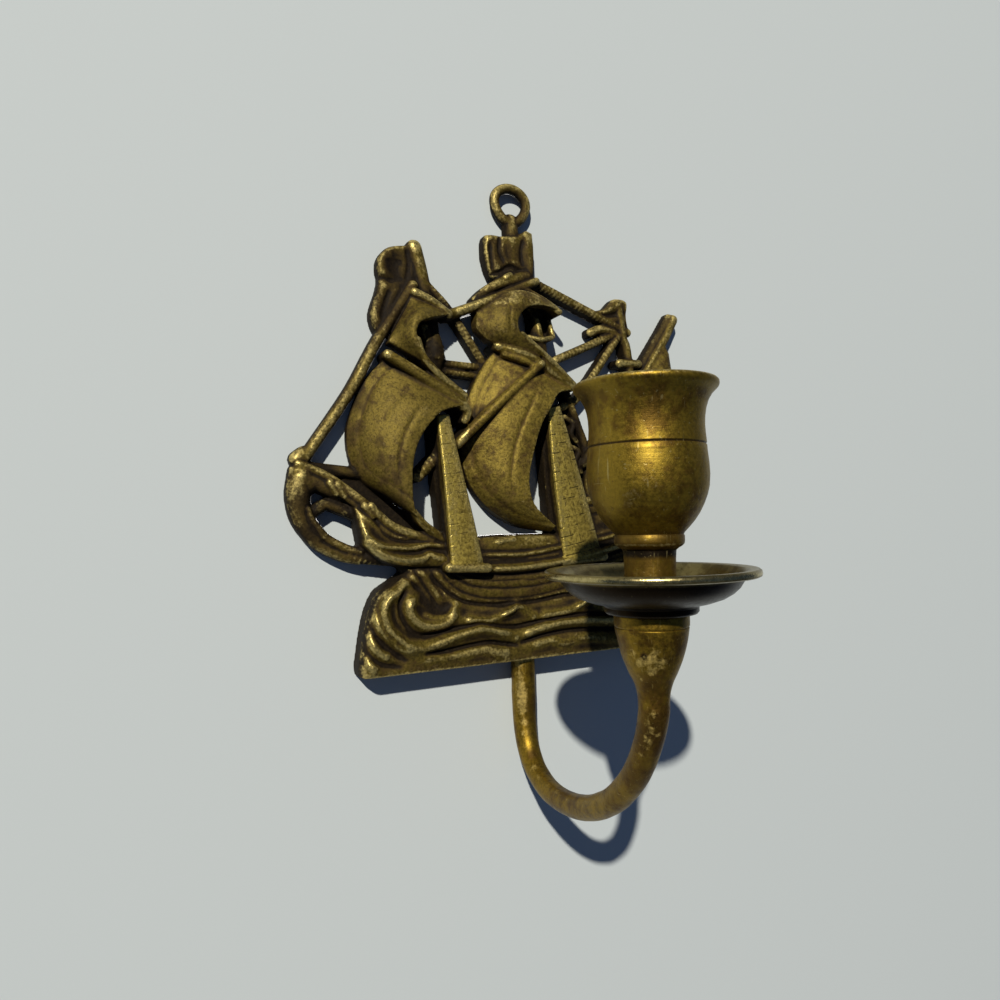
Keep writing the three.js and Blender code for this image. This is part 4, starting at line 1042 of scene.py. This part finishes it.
print("pieces:", [(o.name, len(o.data.polygons)) for o in (plaqueCasting, armBar, dripPan, candleCup)])


def feed(tree, socket, value):
    # a link where the value is another node's output, else a fixed value
    if isinstance(value, bpy.types.NodeSocket):
        tree.links.new(value, socket)
    else:
        socket.default_value = value


def addNode(tree, kind, values=None, **settings):
    node = tree.nodes.new(kind)
    for key, value in settings.items():
        setattr(node, key, value)
    for key, value in (values or {}).items():
        feed(tree, node.inputs[key], value)
    return node


def maskNode(tree, name):
    return addNode(tree, "ShaderNodeAttribute", attribute_name=name).outputs["Fac"]


def blend(tree, share, under, over, mode="MIX"):
    node = addNode(tree, "ShaderNodeMix", data_type="RGBA", blend_type=mode, clamp_factor=True)
    for socket, value in ((0, share), (6, under), (7, over)):
        feed(tree, node.inputs[socket], value)
    return node.outputs[2]


def sums(tree, kind, a, b, clamp=False):
    return addNode(tree, "ShaderNodeMath", {0: a, 1: b}, operation=kind, use_clamp=clamp).outputs[0]


def times(tree, a, b, clamp=False):
    return sums(tree, "MULTIPLY", a, b, clamp)


def plus(tree, a, b, clamp=False):
    return sums(tree, "ADD", a, b, clamp)


def minus(tree, a, b, clamp=False):
    return sums(tree, "SUBTRACT", a, b, clamp)


def spread(tree, value, low, high, toLow=0.0, toHigh=1.0):
    node = addNode(tree, "ShaderNodeMapRange", {"Value": value, "From Min": low, "From Max": high,
                                                "To Min": toLow, "To Max": toHigh}, clamp=True,
                   interpolation_type="SMOOTHSTEP")
    return node.outputs[0]


def noise(tree, place, scale, detail=4.0, rough=0.55):
    return addNode(tree, "ShaderNodeTexNoise", {"Vector": place, "Scale": scale, "Detail": detail,
                                                "Roughness": rough}).outputs["Fac"]


def newGroup(name, inputs, outputs):
    tree = bpy.data.node_groups.new(name, "ShaderNodeTree")
    for label, kind, default in inputs:
        socket = tree.interface.new_socket(label, in_out="INPUT", socket_type=kind)
        if default is not None:
            socket.default_value = default
    for label, kind in outputs:
        tree.interface.new_socket(label, in_out="OUTPUT", socket_type=kind)
    return tree, tree.nodes.new("NodeGroupInput").outputs, tree.nodes.new("NodeGroupOutput").inputs


def patinaGroup():
    # aged brass: mottled skin, brown-black hollows with painted shade, rubbed ridges with painted
    # highlights, and fine dark specks
    tree, given, out = newGroup("agedBrassPatina", [
        ("Place", "NodeSocketVector", None), ("RidgeAndSheen", "NodeSocketFloat", 0.0),
        ("HollowAndShade", "NodeSocketFloat", 0.0),
        ("Skin", "NodeSocketColor", (0.3, 0.22, 0.07, 1)),
        ("Stain", "NodeSocketColor", (0.12, 0.07, 0.02, 1)),
        ("Dark", "NodeSocketColor", (0.02, 0.013, 0.008, 1)),
        ("RubbedAndSheen", "NodeSocketColor", (0.6, 0.5, 0.24, 1)),
        ("Stained", "NodeSocketFloat", 0.5), ("Specks", "NodeSocketFloat", 0.5),
        ("Crisp", "NodeSocketFloat", 0.25),
        ("Polish", "NodeSocketFloat", 0.1), ("Metal", "NodeSocketFloat", 0.7),
        ("Rough", "NodeSocketFloat", 0.4),
    ], [("Colour", "NodeSocketColor"), ("Roughness", "NodeSocketFloat"), ("Metallic", "NodeSocketFloat"),
        ("Height", "NodeSocketFloat")])
    place = given["Place"]
    broad = noise(tree, place, 70, 3)
    middle = noise(tree, place, 380, 5, 0.6)
    fineGrain = noise(tree, place, 1200, 5, 0.65)
    pits = noise(tree, place, 3600, 2, 0.5)
    stained = times(tree, spread(tree, plus(tree, broad, middle), 0.95, 1.25), given["Stained"])
    skin = blend(tree, stained, given["Skin"], given["Stain"])
    freckles = spread(tree, plus(tree, fineGrain, times(tree, middle, 0.5)), 0.82, 0.95)
    specks = times(tree, freckles, given["Specks"])
    skin = blend(tree, specks, skin, given["Dark"])
    waver = times(tree, minus(tree, plus(tree, middle, fineGrain), 1.0), 0.8)
    # darker where the hollow mask is high; that mask holds patina and painted shade
    dulledAndShaded = spread(tree, plus(tree, given["HollowAndShade"], waver), 0.08, 0.55)
    skin = blend(tree, times(tree, dulledAndShaded, 0.8), skin, given["Stain"])
    hollowAndShade = spread(tree, plus(tree, given["HollowAndShade"], times(tree, waver, 0.7)), 0.4, 1.05)
    # rubbed gold where the ridge mask is high; that mask holds wear and painted highlights
    ridgeAndSheen = spread(tree, plus(tree, given["RidgeAndSheen"], waver), minus(tree, 0.67, given["Crisp"]),
                   plus(tree, 0.67, given["Crisp"]))
    skin = blend(tree, hollowAndShade, skin, given["Dark"])
    skin = blend(tree, ridgeAndSheen, skin, given["RubbedAndSheen"])
    skin = blend(tree, given["Specks"], skin, spread(tree, fineGrain, 0.34, 0.66, 0.5, 1.55), "MULTIPLY")
    tree.links.new(skin, out["Colour"])
    rough = plus(tree, given["Rough"], spread(tree, fineGrain, 0.3, 0.7, -0.05, 0.07))
    matte = times(tree, dulledAndShaded, minus(tree, 1.0, given["Metal"]))  # the barer the metal, the less it dulls
    rough = plus(tree, rough, times(tree, matte, 0.3))
    rough = minus(tree, rough, times(tree, ridgeAndSheen, given["Polish"]), True)
    tree.links.new(rough, out["Roughness"])
    worn = minus(tree, given["Metal"], times(tree, matte, 0.6))
    tree.links.new(plus(tree, worn, times(tree, ridgeAndSheen, given["Polish"]), True), out["Metallic"])
    grain = plus(tree, times(tree, middle, 0.18), times(tree, fineGrain, 0.45))
    tree.links.new(minus(tree, grain, spread(tree, pits, 0.6, 0.75, 0.0, 0.2)), out["Height"])
    return tree


def scratchGroup():
    # short pale scratches in three directions
    tree, given, out = newGroup("handlingScratches", [
        ("Place", "NodeSocketVector", None), ("Amount", "NodeSocketFloat", 0.5)],
                                [("Mask", "NodeSocketFloat")])
    marks = []
    for turn, stretch in (((0.3, 0.5, 0.4), (1500, 90, 1500)), ((1.1, -0.4, 0.9), (1700, 1700, 110)),
                          ((0.5, 0.35, 0.2), (1300, 1300, 90))):
        turned = addNode(tree, "ShaderNodeMapping",
                         {"Vector": given["Place"], "Rotation": turn, "Scale": stretch})
        lines = noise(tree, turned.outputs[0], 1.0, 2, 0.4)
        marks.append(spread(tree, lines, 0.68, 0.76))
    every = sums(tree, "MAXIMUM", sums(tree, "MAXIMUM", marks[0], marks[1]), marks[2])
    tree.links.new(times(tree, every, given["Amount"], True), out["Mask"])
    return tree


patina = patinaGroup()
scratches = scratchGroup()


def brassMaterial(name, look, extra=None):
    material = bpy.data.materials.new(name)
    material.use_nodes = True
    tree = material.node_tree
    shader = tree.nodes["Principled BSDF"]
    place = addNode(tree, "ShaderNodeTexCoord").outputs["Object"]
    ridgeAndSheen = maskNode(tree, "ridgeAndSheen")
    hollowAndShade = maskNode(tree, "hollowAndShade")
    aged = addNode(tree, "ShaderNodeGroup", node_tree=patina)
    for label, value in {"Place": place, "RidgeAndSheen": ridgeAndSheen, "HollowAndShade": hollowAndShade}.items():
        tree.links.new(value, aged.inputs[label])
    for label in ("Skin", "Stain", "Dark", "RubbedAndSheen", "Stained", "Specks", "Crisp", "Polish",
                  "Metal", "Rough"):
        aged.inputs[label].default_value = look[label]
    marks = addNode(tree, "ShaderNodeGroup", node_tree=scratches)
    tree.links.new(place, marks.inputs["Place"])
    marks.inputs["Amount"].default_value = look["Scratches"]
    colour = blend(tree, marks.outputs["Mask"], aged.outputs["Colour"], look["RubbedAndSheen"])
    height = aged.outputs["Height"]
    if extra:
        colour, height = extra(tree, colour, height)
    tree.links.new(colour, shader.inputs["Base Color"])
    tree.links.new(aged.outputs["Roughness"], shader.inputs["Roughness"])
    tree.links.new(aged.outputs["Metallic"], shader.inputs["Metallic"])
    shader.inputs["Specular IOR Level"].default_value = look["Gleam"]
    bump = addNode(tree, "ShaderNodeBump",
                   {"Height": height, "Strength": look["Bump"], "Distance": 0.4 * mm})
    tree.links.new(bump.outputs["Normal"], shader.inputs["Normal"])
    return material


def ratlines(tree, colour, height):
    # bright shrouds, lighter towards their left edge as a painted highlight, with an incised ladder, along
    # the panel's own coordinates, and the sails painted lighter as painted light
    across = maskNode(tree, "panelAcross")
    down = maskNode(tree, "panelDown")
    face = maskNode(tree, "panelFace")
    ladder = maskNode(tree, "panelLadder")
    lines = []
    place = addNode(tree, "ShaderNodeTexCoord").outputs["Object"]
    for value, wide, dots in ((across, 0.06, 1100), (down, 0.1, 420)):
        fraction = sums(tree, "FRACT", value, 0.0)
        middle = sums(tree, "ABSOLUTE", minus(tree, fraction, 0.5), 0.0)
        broken = spread(tree, noise(tree, place, dots, 3), 0.46, 0.58)
        lines.append(times(tree, spread(tree, middle, 0.5 - wide, 0.5), broken))
    cut = times(tree, sums(tree, "MAXIMUM", lines[0], lines[1]), ladder)
    bright = times(tree, face, spread(tree, noise(tree, place, 900, 5, 0.65), 0.35, 0.65, 0.2, 1.0))
    colour = blend(tree, bright, colour, shrouds["bright"])
    bare = maskNode(tree, "bare")
    colour = blend(tree, bare, colour, plaqueBrass["bareGain"], "MULTIPLY")
    colour = blend(tree, times(tree, cut, 0.75), colour, shrouds["incised"])
    return colour, minus(tree, height, times(tree, cut, 0.8))


def latheLines(tree, colour, height):
    # fine rings left by turning
    place = addNode(tree, "ShaderNodeTexCoord").outputs["Object"]
    flat = addNode(tree, "ShaderNodeMapping", {"Vector": place, "Scale": (25, 25, 2600)}).outputs[0]
    rings = noise(tree, flat, 1.0, 3, 0.6)
    colour = blend(tree, 1.0, colour, spread(tree, rings, 0.3, 0.7, 0.95, 1.04), "MULTIPLY")
    return colour, plus(tree, height, times(tree, rings, 0.2))


for obj, node, slot, material in (
        (plaqueCasting, "plaque", "plaque_brass", brassMaterial("plaqueAgedBrass", plaqueBrass, ratlines)),
        (armBar, "arm", "arm_brass", brassMaterial("armWornBrass", armBrass)),
        (dripPan, "drip_pan", "pan_brass", brassMaterial("panTurnedBrass", panBrass, latheLines)),
        (candleCup, "candle_cup", "cup_brass", brassMaterial("cupTurnedBrass", cupBrass, latheLines))):
    obj.data.materials.clear()
    obj.data.materials.append(material)
    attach(obj, "root")
    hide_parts(node)

# Stage: a pale wall close behind the plaque, clear from behind, and a pale floor below
stage = {
    "wallGap": 0.0006,
    "clearWithin": 0.012,  # the wall lets light through to what is this near
    "firstDepth": 1.5,  # only to the surface seen first: its shadow rays have depth 1
    "size": 4.0,
    "floor": -5.0,
    "pale": (0.61, 0.655, 0.645, 1),
    "rough": 0.85,
    "middle": (-0.01, -0.04, 0.04),  # where the lights are aimed
}


def paleMaterial(name, clearBehind):
    material = bpy.data.materials.new(name)
    material.use_nodes = True
    tree = material.node_tree
    shader = tree.nodes["Principled BSDF"]
    shader.inputs["Base Color"].default_value = stage["pale"]
    shader.inputs["Roughness"].default_value = stage["rough"]
    if clearBehind:
        back = addNode(tree, "ShaderNodeNewGeometry").outputs["Backfacing"]
        path = addNode(tree, "ShaderNodeLightPath").outputs
        short = sums(tree, "LESS_THAN", path["Ray Length"], stage["clearWithin"])
        firstHit = sums(tree, "LESS_THAN", path["Ray Depth"], stage["firstDepth"])
        straight = times(tree, path["Is Shadow Ray"], firstHit)
        lit = times(tree, short, straight)
        clear = sums(tree, "MAXIMUM", back, lit)  # to eyes, and to light for the back
        glass = addNode(tree, "ShaderNodeBsdfTransparent").outputs[0]
        mixed = addNode(tree, "ShaderNodeMixShader", {0: clear, 1: shader.outputs[0], 2: glass})
        tree.links.new(mixed.outputs[0], tree.nodes["Material Output"].inputs["Surface"])
    return material


clearSelection()
bpy.ops.mesh.primitive_plane_add(size=stage["size"], location=(0, stage["wallGap"], 0),
                                 rotation=(math.pi / 2, 0, 0))
wall = bpy.context.object
wall.name = "paleWall"
wall.data.materials.append(paleMaterial("paleWall", True))
bpy.ops.mesh.primitive_plane_add(size=stage["size"], location=(0, 0, stage["floor"]))
floor = bpy.context.object
floor.name = "paleFloor"
floor.data.materials.append(paleMaterial("paleFloor", False))

lights = {
    "softKey": {"toward": (0.619, 1.0, -0.742), "away": 8.0, "size": 0.2, "power": 745.0,
                "colour": (1.0, 0.96, 0.88)},
    "softBack": {"toward": (-0.5, -1.0, -0.2), "away": 3.0, "size": 0.2, "power": 78.0,
                 "colour": (1.0, 0.98, 0.95)},
}
for name, light in lights.items():
    aim = Vector(light["toward"]).normalized()
    bpy.ops.object.light_add(type="AREA", location=Vector(stage["middle"]) - aim * light["away"])
    lamp = bpy.context.object
    lamp.name = name
    lamp.rotation_euler = aim.to_track_quat("-Z", "Y").to_euler()
    lamp.data.shape = "DISK"
    lamp.data.size = light["size"]
    lamp.data.energy = light["power"]
    lamp.data.color = light["colour"]

# Room: dim blue light all round, seen as a pale backdrop
room = {"light": (0.0378, 0.0567, 0.105, 1), "seen": (0.5, 0.54, 0.53, 1)}
world = bpy.data.worlds.new("softRoom")
world.use_nodes = True
sky = world.node_tree
seen = addNode(sky, "ShaderNodeLightPath").outputs["Is Camera Ray"]
sky.links.new(blend(sky, seen, room["light"], room["seen"]), sky.nodes["Background"].inputs["Color"])
bpy.context.scene.world = world

# Camera: low in front and to the left, close and wide
view = {"place": (-0.11194, -0.21630, 0.02571), "yaw": 26.294, "pitch": 1.5206, "roll": -1.3558,
        "lens": 25.878, "sensor": 36, "near": 0.005}
yaw, pitch, roll = (math.radians(view[k]) for k in ("yaw", "pitch", "roll"))
ahead = Vector((math.sin(yaw), math.cos(yaw), 0))
right = Vector((math.cos(yaw), -math.sin(yaw), 0))
upward = Vector((0, 0, 1))
look = ahead * math.cos(pitch) + upward * math.sin(pitch)
lift = upward * math.cos(pitch) - ahead * math.sin(pitch)
tiltedRight = right * math.cos(roll) + lift * math.sin(roll)
tiltedUp = lift * math.cos(roll) - right * math.sin(roll)
clearSelection()
bpy.ops.object.camera_add()
camera = bpy.context.object
camera.name = "mainCamera"
turn = Matrix((tiltedRight, tiltedUp, -look)).transposed()
camera.matrix_world = Matrix.Translation(view["place"]) @ turn.to_4x4()
camera.data.lens = view["lens"]
camera.data.sensor_width = view["sensor"]
camera.data.sensor_fit = "HORIZONTAL"
camera.data.clip_start = view["near"]
bpy.context.scene.camera = camera
bpy.context.scene.view_settings.view_transform = "Standard"
